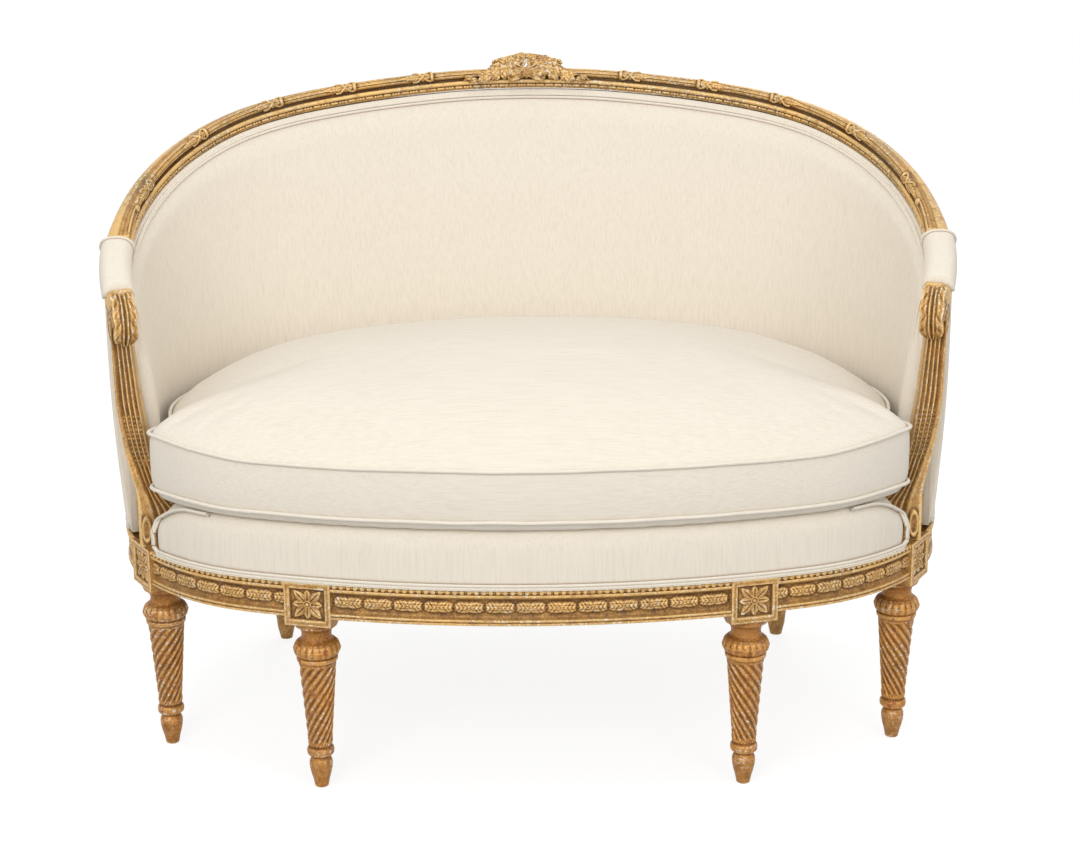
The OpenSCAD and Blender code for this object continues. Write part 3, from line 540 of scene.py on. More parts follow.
LINEN = (0.780, 0.714, 0.608)
gilt = gilding("worn_gilding", chips=0.8, bole=0.6)
gilt_legs = gilding("leg_gilding", wear=0.7, bole=0.9, chips=0.8, greenish_share=0.2, depth=0.24,
                    warm=(0.93, 0.76, 0.58))
gilt_scroll = gilding("scroll_gilding", wear=0.6, bole=0.7, chips=1.0, greenish_share=0.3, depth=0.42)
gilt_rail = gilding("rail_gilding", wear=0.6, bole=0.5, chips=0.9, greenish_share=0.2, depth=0.40)
# The crest's copy, shared by the back legs: a little more greenish tint, painted in for the olive tone that
# light gives the crest's top
gilt_olive = gilding("greenish_gilding", wear=0.4, bole=0.5, chips=0.8, greenish_share=0.5)
back_linen = linen_cloth("back_linen", LINEN, "up")
seat_linen = linen_cloth("cushion_linen", tuple(c * t for c, t in zip(LINEN, (0.985, 0.99, 1.0))), "across")
thread = linen_cloth("seam_thread", (0.50, 0.38, 0.28), "across")
beech = plain_wood("sawn_beech", (0.34, 0.22, 0.12), (0.58, 0.42, 0.26))
jute = jute_cloth("jute_weave")


def dress(piece, material, node_name, body="sofa_frame"):
    piece.data.materials.clear()
    piece.data.materials.append(material)
    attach(piece, body)
    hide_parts(node_name)
    return piece


# Crest: one carved section from arm to arm. Points run up its inner face, over the top and down the back.
TORUS = (-10.6, 10.1, 7.3)
TORUS_ARC = (252.0, 76.0)
crest_face = [
    np.array([(-13.2, -17.0), (-13.2, -14.2)]),
    arc(-14.6, -11.8, 2.2, 262, 96, 8),
    arc(-14.4, -5.4, 4.0, 264, 96, 11),
    np.array([(-12.9, -1.0), (-11.6, -0.2), (-11.1, 1.0), (-11.5, 2.2)]),
    arc(*TORUS, *TORUS_ARC, 34),
    np.array([(-5.5, 17.3), (-2.0, 16.7), (1.0, 17.0), (4.3, 17.0), (7.5, 16.3), (10.6, 14.9), (13.7, 12.4),
              (16.0, 9.4), (17.4, 6.0), (18.0, 2.5), (18.0, -5.0), (18.0, -12.0), (18.0, -17.0), (9.0, -17.0),
              (0.0, -17.0), (-7.0, -17.0)])]
crest_section = np.concatenate(crest_face) * mm
crest_zone = np.concatenate([np.full(len(part), k) for k, part in enumerate(crest_face)])
crest_normal = ring_normals(crest_section)
crest_normal *= np.sign(np.sum(crest_normal * (crest_section - crest_section.mean(0))))
TORUS_MIDDLE = 165.0
torus_y = np.radians(TORUS_MIDDLE - np.linspace(*TORUS_ARC, 34)) * TORUS[2] * mm
BEAD_ZONE, TORUS_ZONE = 1, 4
BEAD_PITCH, BATON_AT = 31 * mm, 23.2 * mm
BUD_AT = 0.786
WRAPS = [0.164, 0.298, 0.426, 0.572, 0.724]
WRAP_L = 52 * mm
CREST_SCALE = 0.75 * mm


def bead_and_reel(a):
    """Three beads and a baton, over and over, along a length."""
    p = np.mod(a, BEAD_PITCH)
    beads = sum(bump(p, c * mm, 2.3 * mm) for c in (3, 8, 13))
    baton = bump(clip01(np.abs(p - BATON_AT) - 4.4 * mm), 0, 2.2 * mm)
    return np.maximum(beads, baton * (np.abs(p - BATON_AT) < 6.6 * mm))


def wrap_relief(x, y):
    """Carved leaf bound to the crest by crossed ribbons. x runs from its knot to the leaf's tip."""
    t = clip01(x / WRAP_L)
    on = (x > 0) & (x < WRAP_L)
    half = mix(9.0, 1.0, t ** 1.6) * mm * clip01(x / (5 * mm)) ** 0.5 + 0.1 * mm
    serration = 1 + 0.16 * np.cos(2 * math.pi * x / (6.5 * mm))
    body = bump(y, 0, half * serration)
    leaf = on * body * mix(2.3, 1.2, t) * mm
    leaf -= on * body * 1.0 * mm * bell(y, 0, 0.8 * mm)
    veins = wave(2 * math.pi * (x - 1.1 * np.abs(y)) / (5.0 * mm))
    leaf -= on * body * 0.7 * mm * veins * (np.abs(y) > 1.2 * mm)
    swing = 8.5 * mm * np.cos(math.pi * x / (26 * mm))
    bands = np.maximum(bump(y - swing, 0, 2.0 * mm), bump(y + swing, 0, 2.0 * mm))
    ribbon = bands * 2.6 * mm * ((x > -2 * mm) & (x < 30 * mm))
    knot = 2.8 * mm * bump(x, -3 * mm, 3.2 * mm) * bump(y, 0, 11 * mm)
    button = 3.6 * mm * bump(np.hypot(x - 13 * mm, y), 0, 3.0 * mm)
    return np.maximum.reduce([leaf, ribbon, knot, button])


def crest_grid(s, wide=1.0, cap=1.0):
    """Carved rings of the crest at lengths s. wide scales its thickness, cap limits its height."""
    a = np.abs(s)[:, None]
    d = np.zeros((len(s), len(crest_section)))
    y = torus_y[None, :]
    reeds = -1.3 * mm * (bell(y, 3.2 * mm, 0.8 * mm) + bell(y, -3.4 * mm, 0.9 * mm))
    reeds = reeds - 0.7 * mm * bell(y, 0.4 * mm, 0.6 * mm)
    carving = np.maximum.reduce([wrap_relief(a - c, y) for c in WRAPS])
    stems = (a > BUD_AT) * 1.6 * mm * (bump(y, 4.2 * mm, 1.7 * mm) + bump(y, -4.2 * mm, 1.7 * mm))
    bud = 3.4 * mm * bump(np.hypot(a - BUD_AT, y), 0, 6 * mm)
    reeds = reeds * clip01((0.780 - a) / (20 * mm))
    d[:, crest_zone == TORUS_ZONE] = np.where(carving > 0.3 * mm, carving, reeds) + np.maximum(stems, bud)
    across = np.sqrt(np.clip(1 - (np.linspace(-1, 1, 8)) ** 2, 0.15, 1))[None, :]
    d[:, crest_zone == BEAD_ZONE] = (bead_and_reel(a) - 1) * 1.9 * mm * across
    n = crest_section[:, 0] + d * crest_normal[:, 0]
    b = crest_section[:, 1] + d * crest_normal[:, 1]
    return beside(s, n * wide, np.minimum(b, cap))


OVERLAP = 0.05 * mm


def crest_piece(name, start, end):
    grid = crest_grid(steps(start - OVERLAP, end + OVERLAP, 1.0 * mm))
    dress(closed_sweep("carved_" + name, grid, carved=True, scale=CREST_SCALE), gilt_olive, name)


crest_piece("crest_centre", -CREST_JOINT, CREST_JOINT)
crest_piece("crest_right", CREST_JOINT, ARM_JOINT)
crest_piece("crest_left", -ARM_JOINT, -CREST_JOINT)


# Carved bow on the middle of the crest: a wreath of leaves and small flowers round a ribbon's knot.
# Its own coordinates are millimetres along the crest, above its middle and back from its middle.
def bow_points(local):
    flat = local.reshape(-1, 3) * mm
    return beside(flat[:, 0], flat[:, 2], flat[:, 1]).reshape(local.shape)


def bow_depth(up):
    return -mix(18.0, 8.0, ease((up - 12.0) / 12.0))


def bow_leaf(start, end, width, bend=0.0, lift=4.0):
    """Pointed leaf with a midrib and side veins, arched toward the front."""
    thick, ribs = 3.4, 3.0
    u = np.linspace(0, 1, 19)[:, None]
    start, end = np.asarray(start, float), np.asarray(end, float)
    run = (end - start)[:2]
    side = np.array([-run[1], run[0]]) / np.linalg.norm(run)
    flat = start[:2] + run * u + side * bend * np.sin(math.pi * u)
    depth = bow_depth(flat[:, 1:2]) - mix(start[2], end[2], u) - lift * np.sin(math.pi * u ** 0.8)
    k = turns(20)[None, :]
    half = width / 2 * np.sin(math.pi * clip01(u * 0.94 + 0.05) ** 0.75) ** 0.8 + 0.25
    half = half * (1 + 0.13 * np.cos(2 * math.pi * u * ribs * 1.5))
    across = np.cos(k) * half
    rib = 1 - 0.5 * bell(np.cos(k), 0, 0.16)
    vein = 1 - 0.35 * wave(2 * math.pi * (u * ribs * 1.6 - 0.5 * np.abs(np.cos(k))))
    arched = np.where(np.sin(k) > 0, clip01(np.sin(k)) ** 0.7 * rib * vein, np.sin(k))
    height = thick / 2 * arched * (half / (width / 2)) ** 0.4
    x = flat[:, :1] + side[0] * across
    b = flat[:, 1:2] + side[1] * across
    return bow_points(np.stack([x, b, depth - height], -1))


def bow_disc(x, b, r, rings, rim, sides, lift, thick, form):
    """Round piece of the bow. form gives its outline and height from a share of r and a turn."""
    turn = turns(sides)[None, :]
    rho = np.concatenate([np.linspace(0.1, 1, 4), np.linspace(1, rim, rings)])[:, None]
    front = np.concatenate([np.zeros(4), np.ones(rings)])[:, None]
    outline, height = form(rho, turn)
    radius = r * rho * outline
    depth = bow_depth(b) - lift + thick * (1 - front) - front * height
    return bow_points(np.stack([x + radius * np.cos(turn), b + radius * np.sin(turn), depth], -1))


def bow_flower(x, b, r, petals):
    def form(rho, turn):
        petal = np.abs(np.cos(petals / 2 * turn)) ** 0.6
        cup = bump(2 * rho, 1.05, 1) * (0.35 + 0.5 * petal)
        return mix(1, 0.74 + 0.26 * petal, rho), 5.0 * np.maximum(cup, bump(rho, 0, 0.33))

    return bow_disc(x, b, r, 13, 0.04, 48, 4.0, 2.0, form)


def bow_rose(x, b, r, lift):
    """Rosebud of petals wound round its middle."""
    def form(rho, turn):
        wound = np.mod(rho * 2.6 + turn / (2 * math.pi), 1.0)
        bud = r * 0.85 * bump(rho * 0.94, 0, 1)
        return 1 + 0.07 * np.cos(5 * turn + 6 * rho) * rho, bud + 1.9 * wound ** 2 * rho

    return bow_disc(x, b, r, 22, 0.03, 60, lift, 3, form)


def bow_band(knots, width, thick, twist=0.0, taper=0.15):
    """Ribbon or stem along knots given as (along, up, lift)."""
    path = smooth_path(np.asarray(knots, float), 1.5)
    u = np.linspace(0, 1, len(path))[:, None]
    depth = bow_depth(path[:, 1:2]) - path[:, 2:]
    run = np.gradient(path[:, :2], axis=0)
    run /= np.linalg.norm(run, axis=1, keepdims=True) + 1e-9
    side = np.stack([-run[:, 1], run[:, 0]], -1)
    k = turns(16)[None, :]
    end = np.clip(np.minimum(u, 1 - u) / 0.08, taper, 1) ** 0.6
    turn = twist * np.sin(2 * math.pi * u)
    a = width / 2 * end * np.sign(np.cos(k)) * np.abs(np.cos(k)) ** 0.6
    h = thick / 2 * end * np.sign(np.sin(k)) * np.abs(np.sin(k)) ** 0.6
    h = h * (1 - 0.45 * (np.abs(np.cos(k)) < 0.6))
    across, height = a * np.cos(turn) - h * np.sin(turn), a * np.sin(turn) + h * np.cos(turn)
    return bow_points(np.stack([path[:, :1] + side[:, :1] * across, path[:, 1:2] + side[:, 1:] * across,
                                depth - height], -1))


# Leaves of the bow's right half: where each starts, along and up, where it ends, and its width
BOW_LEAVES = [
    (20, 29, 33, 39, 9), (33, 27, 49, 34, 9), (42, 24, 60, 22, 9), (8, 33, 19, 41, 8),
    (44, 18, 60, 11, 9), (30, 20, 44, 13, 8), (14, 30, 7, 22, 7), (26, 33, 26, 21, 7),
    (50, 14, 62, 3, 8), (58, 10, 73, 6, 8), (66, 5, 80, -4, 8), (72, 3, 86, 8, 7),
    (48, 8, 55, -4, 8), (84, 0, 97, -5, 6.5), (92, 2, 106, 7, 6), (36, 14, 46, 3, 8),
    (12, 20, 27, 30, 10), (24, 16, 40, 24, 10), (38, 14, 52, 24, 10), (20, 12, 36, 6, 9),
    (56, 12, 66, 18, 9), (42, 8, 38, -3, 8), (64, 6, 66, -6, 8), (10, 27, 22, 37, 9),
    (0, 36, 14, 41, 8), (76, 4, 84, -6, 7), (30, 26, 38, 37, 8), (62, 8, 78, 12, 7)]


def carved_bow():
    def band(side, knots, width, thick, twist=0.0, taper=0.15):
        return bow_band([(side * x, b, lift) for x, b, lift in knots], width, thick, twist * side, taper)

    parts = [band(side, [(60, 10, 0), (38, 14, 2), (14, 20, 2), (7, 30, 1), (20, 33, 0)], 13, 12)
             for side in (-1, 1)]
    parts += [band(1, [(-56, 20, -1), (-44, 29, 0), (-22, 36, 0), (0, 38, 0), (22, 36, 0), (43, 29, 0),
                       (54, 20, -1)], 10, 13),
              band(1, [(-50, 18, 1), (-30, 20, 2), (-10, 13, 3), (10, 13, 3), (32, 20, 2), (50, 18, 1)],
                   8, 8)]
    for side in (-1, 1):
        parts += [band(side, [(3, 11, 6), (14, 20, 7), (27, 24, 6), (37, 18, 5), (33, 9, 5), (20, 7, 6),
                              (4, 10, 6)], 7.5, 3.6, 0.5),
                  band(side, [(5, 8, 6), (13, 4, 9), (21, 1, 8), (31, -3, 4)], 13, 4.0, 0.7, 0.85),
                  band(side, [(16, 9, 8), (25, 8, 10), (33, 3, 6)], 11, 4.0, -0.6, 0.85),
                  band(side, [(30, 10, 2), (48, 8, 4), (66, 2, 3), (84, -1, 2), (97, 3, 2), (109, -2, 1)],
                       3.4, 3.4)]
        for k, (x0, b0, x1, b1, width) in enumerate(BOW_LEAVES):
            shift = 2.2 * math.sin(5.1 * k + 1.7 * side)
            parts.append(bow_leaf((side * x0, b0, 3 + k % 3), (side * (x1 + shift), b1, 1.5), width * 1.2,
                                  bend=2.2 * math.cos(3.3 * k + side), lift=4.2))
        flowers = [(53, 27, 7.0, 5), (17, 35, 6.5, 5), (36, 31, 6.5, 6), (76, -2, 5.5, 5), (62, 0, 5.6, 5),
                   (24, 22, 6.8, 5), (45, 19, 6.5, 5), (58, 16, 5.6, 5)]
        parts += [bow_flower(side * (x + side), b, r, petals) for x, b, r, petals in flowers]
    parts += [bow_leaf((0, 34, 3), (-3, 42.5, 1), 9), bow_leaf((4, 34, 4), (9, 41.5, 1), 7),
              bow_rose(1.5, 11, 9.0, 8)]
    for k in range(6):
        turn = math.radians(60 * k + 20)
        parts.append(bow_leaf((1.5 + 6 * math.cos(turn), 11 + 6 * math.sin(turn), 3),
                              (1.5 + 15 * math.cos(turn), 11 + 12 * math.sin(turn), 1), 7, lift=3))
    piece = joined_sweeps("carved_ribbon_bow", parts, reach=(2, 2), scale=0.8 * mm)
    dress(piece, gilt, "crest_centre")


# Arms: the crest's section widens, is cut flat under the pad and ends in a carved scroll
def scroll_centre():
    return beside(np.array(SCROLL_S), np.array(0.0), np.array(CREST_H / 2 - SCROLL_R - 0.015))


def scroll_axes():
    """Middle of the right-hand scroll, with its outward and forward directions."""
    q = float(facing(np.array(SCROLL_S)))
    return scroll_centre(), np.array([math.cos(q), math.sin(q), 0]), np.array([math.sin(q), -math.cos(q), 0])


def scroll_grid(side):
    """Barrel of the scroll: rings round it from the middle of one flat side to the middle of the other."""
    turn = turns(144)
    disc = np.linspace(0.02, 0.93, 14)
    sheet = np.linspace(-1, 1, 41)
    v = np.concatenate([disc, np.ones(len(sheet)), disc[::-1]])
    w = np.concatenate([np.full(14, -1.0), sheet, np.full(14, 1.0)])
    A, V = np.meshgrid(turn, v)
    W = np.broadcast_to(w[:, None], A.shape)
    on_disc = V < 1
    front = (A > math.radians(8)) & (A < math.radians(205))
    spread = np.abs(W) * (1 + 0.18 * np.cos(A - 1.9))
    lobes = sum(k * bell(spread, c, h)
                for c, h, k in ((0.2, 0.085, 1.0), (0.5, 0.1, 0.85), (0.82, 0.12, 0.7)))
    crinkle = 0.5 + 0.5 * np.cos(11.0 * (A - 0.7 * np.abs(W)))
    curl = ease((A - 2.3) / 0.9) * 2.2 * mm * np.cos(math.pi * W / 2.4)
    leaf = front * (1.2 * mm * lobes + 1.3 * mm * crinkle * (np.abs(W) > 0.62) - 1.6 * mm + curl)
    band = (A > math.radians(186)) & (A < math.radians(206))
    leaf = np.where(band, 1.8 * mm, leaf)
    r = SCROLL_R * V + np.where(on_disc, 0, leaf - 2.2 * mm * np.abs(W) ** 6)
    spiral = np.mod(A / (2 * math.pi) + V * 2.2, 1.0)
    volute = -1.8 * mm * bell(spiral, 0.5, 0.17) * (V > 0.22) + 2.0 * mm * bump(V, 0, 0.2)
    x = SCROLL_W / 2 * W + np.sign(W) * on_disc * (volute - 0.4 * mm)
    c, out, ahead = scroll_axes()
    round_it = np.cos(A)[..., None] * [0, 0, 1] + np.sin(A)[..., None] * ahead
    return (c + x[..., None] * out + r[..., None] * round_it) * [side, 1, 1]


def scroll_leaf(side):
    """Acanthus leaf with a middle channel, laid over the arm's nose and the front of its scroll."""
    reach, high = SCROLL_S - PAD_S1, SCROLL_R + 0.0155
    curl = np.array([(0.98, 0.75), (1.12, 0.0), (1.0, -0.55), (0.74, -0.86), (0.62, -1.02)]) * SCROLL_R
    nose = [(-reach, high), (-0.2 * reach, high + 0.0012), (0.55 * SCROLL_R, high - 0.004)]
    path = smooth_path(np.concatenate([nose, curl]), 0.9 * mm)
    run = np.gradient(path, axis=0)
    run /= np.linalg.norm(run, axis=1, keepdims=True)
    normal = np.stack([-run[:, 1], run[:, 0]], -1)
    normal *= np.sign(normal[0, 1])
    u = np.linspace(0, 1, len(path))[:, None]
    w = np.linspace(-1, 1, 61)[None, :]
    spread = np.abs(w)
    half = (SCROLL_W / 2 + 0.001) * np.interp(u, [0, 0.06, 0.3, 0.55, 0.85, 0.94, 1],
                                              [0.80, 0.92, 0.96, 1.0, 1.0, 0.9, 0.6])
    half = half * (1 + 0.05 * np.cos(2 * math.pi * 3.6 * u))
    ridges = sum(k * bell(spread - c, 0.12 * (0.5 - u) * (c > 0.3), h)
                 for c, h, k in ((0.2, 0.09, 1.0), (0.5, 0.12, 0.35)))
    beat = np.mod(3.6 * u - 0.75 * spread, 1.0)
    lobes = np.sin(math.pi * beat) ** 0.6 * (1 - 0.35 * bell(beat, 0.5, 0.1))
    relief = 2.2 * mm * ridges + 2.6 * mm * lobes * ease((spread - 0.28) / 0.3) - 1.2 * mm * spread ** 6
    tip = 1.2 * mm * ease((u - 0.86) / 0.1) * (1 - spread ** 2)
    relief = relief - 0.9 * mm * bell(w, 0, 0.07) + tip
    top = 0.8 * mm + relief * np.clip(u / 0.08, 0.25, 1)
    c, out, ahead = scroll_axes()

    def sheet(lift, share):
        a = path[:, :1] + normal[:, :1] * lift
        b = path[:, 1:] + normal[:, 1:] * lift
        return c + (half * share)[..., None] * out + a[..., None] * ahead + b[..., None] * [0, 0, 1]

    under = sheet(np.full((len(path), 21), -5.0 * mm), 0.94 * np.linspace(1, -1, 21)[None, :])
    return np.concatenate([sheet(top, w), under], 1) * [side, 1, 1]


def arm_piece(side, word):
    """Arm that widens under its pad and is cut flat there, and its scroll with its leaf."""
    s = steps(ARM_JOINT - OVERLAP, SCROLL_S - SCROLL_R * 0.15, 1.5 * mm)
    wide = 1 + (ARM_W / CREST_T - 1) * ease((s - ARM_JOINT) / (PAD_S0 - ARM_JOINT))
    nose = ease((s - PAD_S1) / (SCROLL_S - 0.0045 - PAD_S1))
    wide = np.where(s > PAD_S1, mix(wide, SCROLL_W * 0.8 / CREST_T, nose), wide)
    cap = np.where((s > PAD_S0) & (s < PAD_S1), CREST_H / 2 - CREST_H * 0.48, CREST_H)[:, None]
    grid = crest_grid(side * s, wide[:, None], cap)
    dress(closed_sweep(f"carved_arm_{word}", grid, carved=True, scale=CREST_SCALE), gilt, f"arm_{word}")
    knob = joined_sweeps(f"carved_arm_{word}_scroll", [scroll_grid(side), scroll_leaf(side)], reach=(2, 3),
                         scale=0.9 * mm)
    dress(knob, gilt_scroll, f"arm_{word}")


carved_bow()
for side, word in SIDES:
    arm_piece(side, word)


# Arm supports: fluted stems that fan out over the corner blocks
SUPPORT_SHARES = np.array([
    [0, 0, 0.66, 0], [0.11, 0.02, 0.64, 0], [0.18, 0.12, 0.61, 0.02], [0.235, 0.42, 0.63, 0.06],
    [0.34, 0.56, 0.74, 0.16], [0.44, 0.69, 0.83, 0.3], [0.65, 0.86, 0.95, 0.64], [0.9, 1, 1, 1],
    [1, 1, 1, 1]])
SUPPORT_W, SUPPORT_T, SUPPORT_FOOT_W, SUPPORT_FOOT_T, SUPPORT_FRONT = 0.028, 0.036, 0.072, 0.044, 0.029


def support_rows():
    """Height, inner edge, outer edge, front and back of a right-hand support."""
    shares = SUPPORT_SHARES
    top = scroll_centre()
    foot = oval(CORNER_Q, LEG_OFF)
    inner_top = top[0] - SUPPORT_W / 2
    outer_top = inner_top + SUPPORT_W
    outer_foot = foot[0] + DIE_W * 0.38
    inner_foot = outer_foot - SUPPORT_FOOT_W
    lean_back = top[1] - SUPPORT_T / 2 - (foot[1] - SUPPORT_FRONT)
    h = shares[:, 0]
    x1 = mix(outer_foot - (outer_top - outer_foot) * 1.9, outer_top, np.maximum(shares[:, 2], 0.66))
    y0 = foot[1] - SUPPORT_FRONT + lean_back * shares[:, 3]
    return np.stack([mix(RAIL_TOP, top[2], h), mix(inner_foot, inner_top, shares[:, 1]), x1, y0,
                     y0 + mix(SUPPORT_FOOT_T, SUPPORT_T, h)], -1)


def support_piece(side, word):
    """Arm support with flutes and beads in front, a rolled outer edge and a raised tab at its foot."""
    rows = support_rows()
    z = steps(RAIL_TOP, rows[-1, 0] - 0.004, 1.3 * mm)
    x0, x1, y0, y1 = (blur(np.interp(z, rows[:, 0], rows[:, k])[:, None], 7, 0, False) for k in (1, 2, 3, 4))
    z = z[:, None]
    up = (z - RAIL_TOP) / (rows[-1, 0] - RAIL_TOP)
    band = np.interp(up, [0, 0.12, 0.3, 0.55, 1], [26, 24, 12, 5, 2.5]) * mm
    u = np.linspace(0, 1, 61)[None, :]
    outer = x1 - band
    flutes = wave(2 * math.pi * 4 * u)
    depth = np.interp(up, [0, 0.04, 0.1, 1], [0.5, 2.6, 3.6, 3.4]) * mm
    carved = ease((up - 0.36) / 0.04) * ease((0.62 - up) / 0.04)
    beads = bump(np.mod(z, 6.5 * mm), 3.25 * mm, 2.9 * mm) * carved
    dip = depth * flutes ** 0.75 - 1.5 * mm * beads * flutes ** 2
    dip = dip - 1.0 * mm * (carved * (0.5 + 0.5 * np.cos(2 * math.pi * z / (4 * mm)))) * (1 - flutes) ** 3
    front = np.stack([x0 + (outer - x0) * u, y0 + dip], -1)
    v = np.linspace(0, 1, 17)[None, 1:]
    roll = 1.6 * mm * bump(2 * v, 1, 1) * np.clip(up / 0.3, 0.3, 1)
    px = outer + band * v
    tab_r = np.hypot((px - (x1 - 12.5 * mm)) / (8.2 * mm), (z - (RAIL_TOP + 28 * mm)) / (24 * mm))
    tab = 4.6 * mm * clip01((1.0 - tab_r) * 6) - 2.2 * mm * clip01((0.72 - tab_r) * 6)
    face = np.stack([px, y0 - np.maximum(roll, tab)], -1)

    def flat(xa, xb, ya, yb, start, end, count):
        t = np.linspace(start, end, count)[None, :]
        return np.stack([mix(xa, xb, t), mix(ya, yb, t)], -1)

    ring = np.concatenate([front, face, flat(x1, x1, y0, y1, 0.06, 0.97, 10),
                           flat(x1, x0, y1, y1, 0.03, 0.97, 6), flat(x0, x0, y1, y0, 0.03, 0.9, 8)], 1)
    grid = with_z(ring, z) * [side, 1, 1]
    piece = closed_sweep(f"fluted_arm_support_{word}", grid, carved=True, scale=1.0 * mm)
    dress(piece, gilt, f"arm_support_{word}")


for side, word in SIDES:
    support_piece(side, word)


# Seat rails: leaf moulding, fillet, frieze of laurel bundles and crossed ribbons, cove and foot fillets
rail_knots = [
    (-6, 0), (-1.2, 0.3), (-0.6, 1), (-0.6, 3.6), (-1.6, 4.4), (-1.8, 5), (-0.9, 5.8), (-0.9, 8.4),
    (-3.4, 9.6), (-5.4, 11.2), (-6.6, 13.2), (-7.2, 14.4), (-7.4, 16.5), (-7.4, 36.5), (-7, 38),
    (-5.4, 40), (-3, 41.6), (-2.8, 42.6), (-0.7, 43.2), (-0.4, 44), (-0.4, 46.6), (-0.8, 47.3),
    (-3.4, 47.8), (-3, 48.6), (-2.3, 52), (-3.6, 54.8), (-6, 55)]
rail_face = resample(rail_knots, 0.75) * mm
rail_inside = np.array([(-28.0, 55.0), (-58.0, 55.0), (-58.0, 27.0), (-58.0, 0.0), (-32.0, 0.0)]) * mm
rail_ring = np.concatenate([rail_face, rail_inside])
LAUREL_PITCH, LEAF_PITCH = 45 * mm, 10.5 * mm
BLOCK_REACH = 0.033
RAIL_FRONT = -9 * mm
FRIEZE_Z, FRIEZE_HALF, BAND_Z, BAND_H = 27.0 * mm, 9.6 * mm, 48.0 * mm, 6.6 * mm


def laurel(x, y):
    """Roll of laurel leaves in bundles, with crossed ribbons between them."""
    p = np.mod(x + LAUREL_PITCH / 2, LAUREL_PITCH) - LAUREL_PITCH / 2
    bundle = LAUREL_PITCH / 2 - np.abs(p)
    t = clip01((bundle + 3.5 * mm) / (15 * mm))
    half = 9.0 * mm * np.sqrt(clip01(t * 1.25))
    roll = bump(y, 0, half + 0.1 * mm) * 5.0 * mm * mix(0.5, 1, ease(bundle / (5 * mm)))
    lean = np.mod((np.abs(p) - 0.75 * np.abs(y)) / (6.2 * mm), 1.0)
    scales = -1.7 * mm * (1 - lean) ** 2 - 1.0 * mm * bell(np.abs(y), 3.6 * mm, 0.8 * mm)
    leaves = roll + np.where(roll > 0.6 * mm, scales, 0)
    cross = np.maximum(bump(y - p, 0, 1.5 * mm), bump(y + p, 0, 1.5 * mm)) * 4.4 * mm
    cross = cross * (np.abs(p) < 8 * mm) * (np.abs(y) < 8.4 * mm)
    tie = 4.2 * mm * bump(np.abs(p), 8.6 * mm, 1.5 * mm) * bump(y, 0, 8.0 * mm)
    return np.maximum.reduce([leaves, cross, tie, np.zeros_like(leaves)])


def leaf_band(x, t):
    """Upright water leaves with darts between them; t runs from the leaves' tips to their heads."""
    p = np.mod(x, LEAF_PITCH) - LEAF_PITCH / 2
    half = 4.3 * mm * np.sin(math.pi * clip01(0.18 + 0.66 * t))
    leaf = bump(p, 0, half + 0.05 * mm) * 3.4 * mm
    leaf = leaf - 1.5 * mm * bell(p, 0, 0.75 * mm) * (t > 0.25)
    dart = 1.7 * mm * bump(np.abs(p), LEAF_PITCH / 2, 0.9 * mm) * (t < 0.75)
    return np.maximum(leaf, dart)


def rail_grid(q0, q1, plain=False):
    """A rail along the oval from facing q0 to q1, each the middle of a block."""
    pitch = (1.5 if plain else 1.0) * mm
    if q0 < -math.pi / 2 or q1 > math.pi / 2:
        q = steps(q0 + BLOCK_REACH / BOW_R, q1 - BLOCK_REACH / BOW_R, pitch / BOW_R)
        x = (q - math.copysign(math.pi / 2, q0)) * BOW_R
    else:
        x = steps(length_at(q0) - BLOCK_REACH, length_at(q1) + BLOCK_REACH, pitch)
        q = facing(x)
    x = x[:, None]
    z = rail_ring[None, :, 1]
    d = np.zeros((len(q), len(rail_ring)))
    if not plain:
        face = rail_ring[:, 0] > RAIL_FRONT
        y = z - FRIEZE_Z
        d = d + laurel(x - x.mean(), y) * (np.abs(y) < FRIEZE_HALF) * face
        t = (z - BAND_Z) / BAND_H
        d = d + leaf_band(x - x.mean(), t) * ((t > 0) & (t < 1) & face)
    off = rail_ring[None, :, 0] + d
    if q1 > math.pi / 2:
        back_c = np.array([0, SET_Y - BOW_Y])
        p = back_c + (BOW_R + off)[..., None] * np.stack([np.cos(q), np.sin(q)], -1)[:, None, :]
    else:
        p = oval(q[:, None], off)
    return with_z(p, RAIL_TOP - RAIL_H + z)


def place_rail(name, grid, side=1):
    piece = closed_sweep("carved_" + name, grid * [side, 1, 1], carved=True, scale=0.8 * mm)
    dress(piece, gilt_rail, name)


place_rail("rail_front_centre", rail_grid(-math.pi - FRONT_Q, FRONT_Q))
for side, word in SIDES:
    place_rail(f"rail_front_{word}", rail_grid(FRONT_Q, CORNER_Q)[::-1], side)
    place_rail(f"rail_side_{word}", rail_grid(CORNER_Q, BACK_Q)[::-1], side)
place_rail("rail_back", rail_grid(BACK_Q, math.pi - BACK_Q, plain=True))


# Square blocks with rosettes, and turned legs with spiral flutes
def rosette(x, z):
    """Eight ribbed petals round a button, in a sunk square panel."""
    r = np.hypot(x, z)
    turn = np.arctan2(z, x)
    sector = np.mod(turn + math.pi / 8, math.pi / 4) - math.pi / 8
    diagonal = np.round(turn / (math.pi / 4)).astype(int) % 2 == 1
    reach = np.where(diagonal, 29.0, 23.0) * mm
    t = clip01(r / reach)
    half = 8.0 * mm * np.sin(math.pi * clip01(t) ** 0.9) ** 0.75 + 0.05 * mm
    y = r * np.sin(sector)
    body = bump(y, 0, half) * (t < 1)
    petal = body * mix(2.6, 3.8, t) * mm - body * 1.5 * mm * bell(y, 0, 0.9 * mm)
    petal = petal - body * 0.5 * mm * wave(2 * math.pi * np.abs(y) / (2.4 * mm))
    button = 5.2 * mm * bump(r, 0, 3.6 * mm)
    ring = 3.4 * mm * bump(r, 5.0 * mm, 1.4 * mm)
    return np.maximum.reduce([petal, button, ring])


PANEL_HALF_W, PANEL_HALF_H, DIE_HALF_H = 27.5 * mm, 24.5 * mm, 0.034


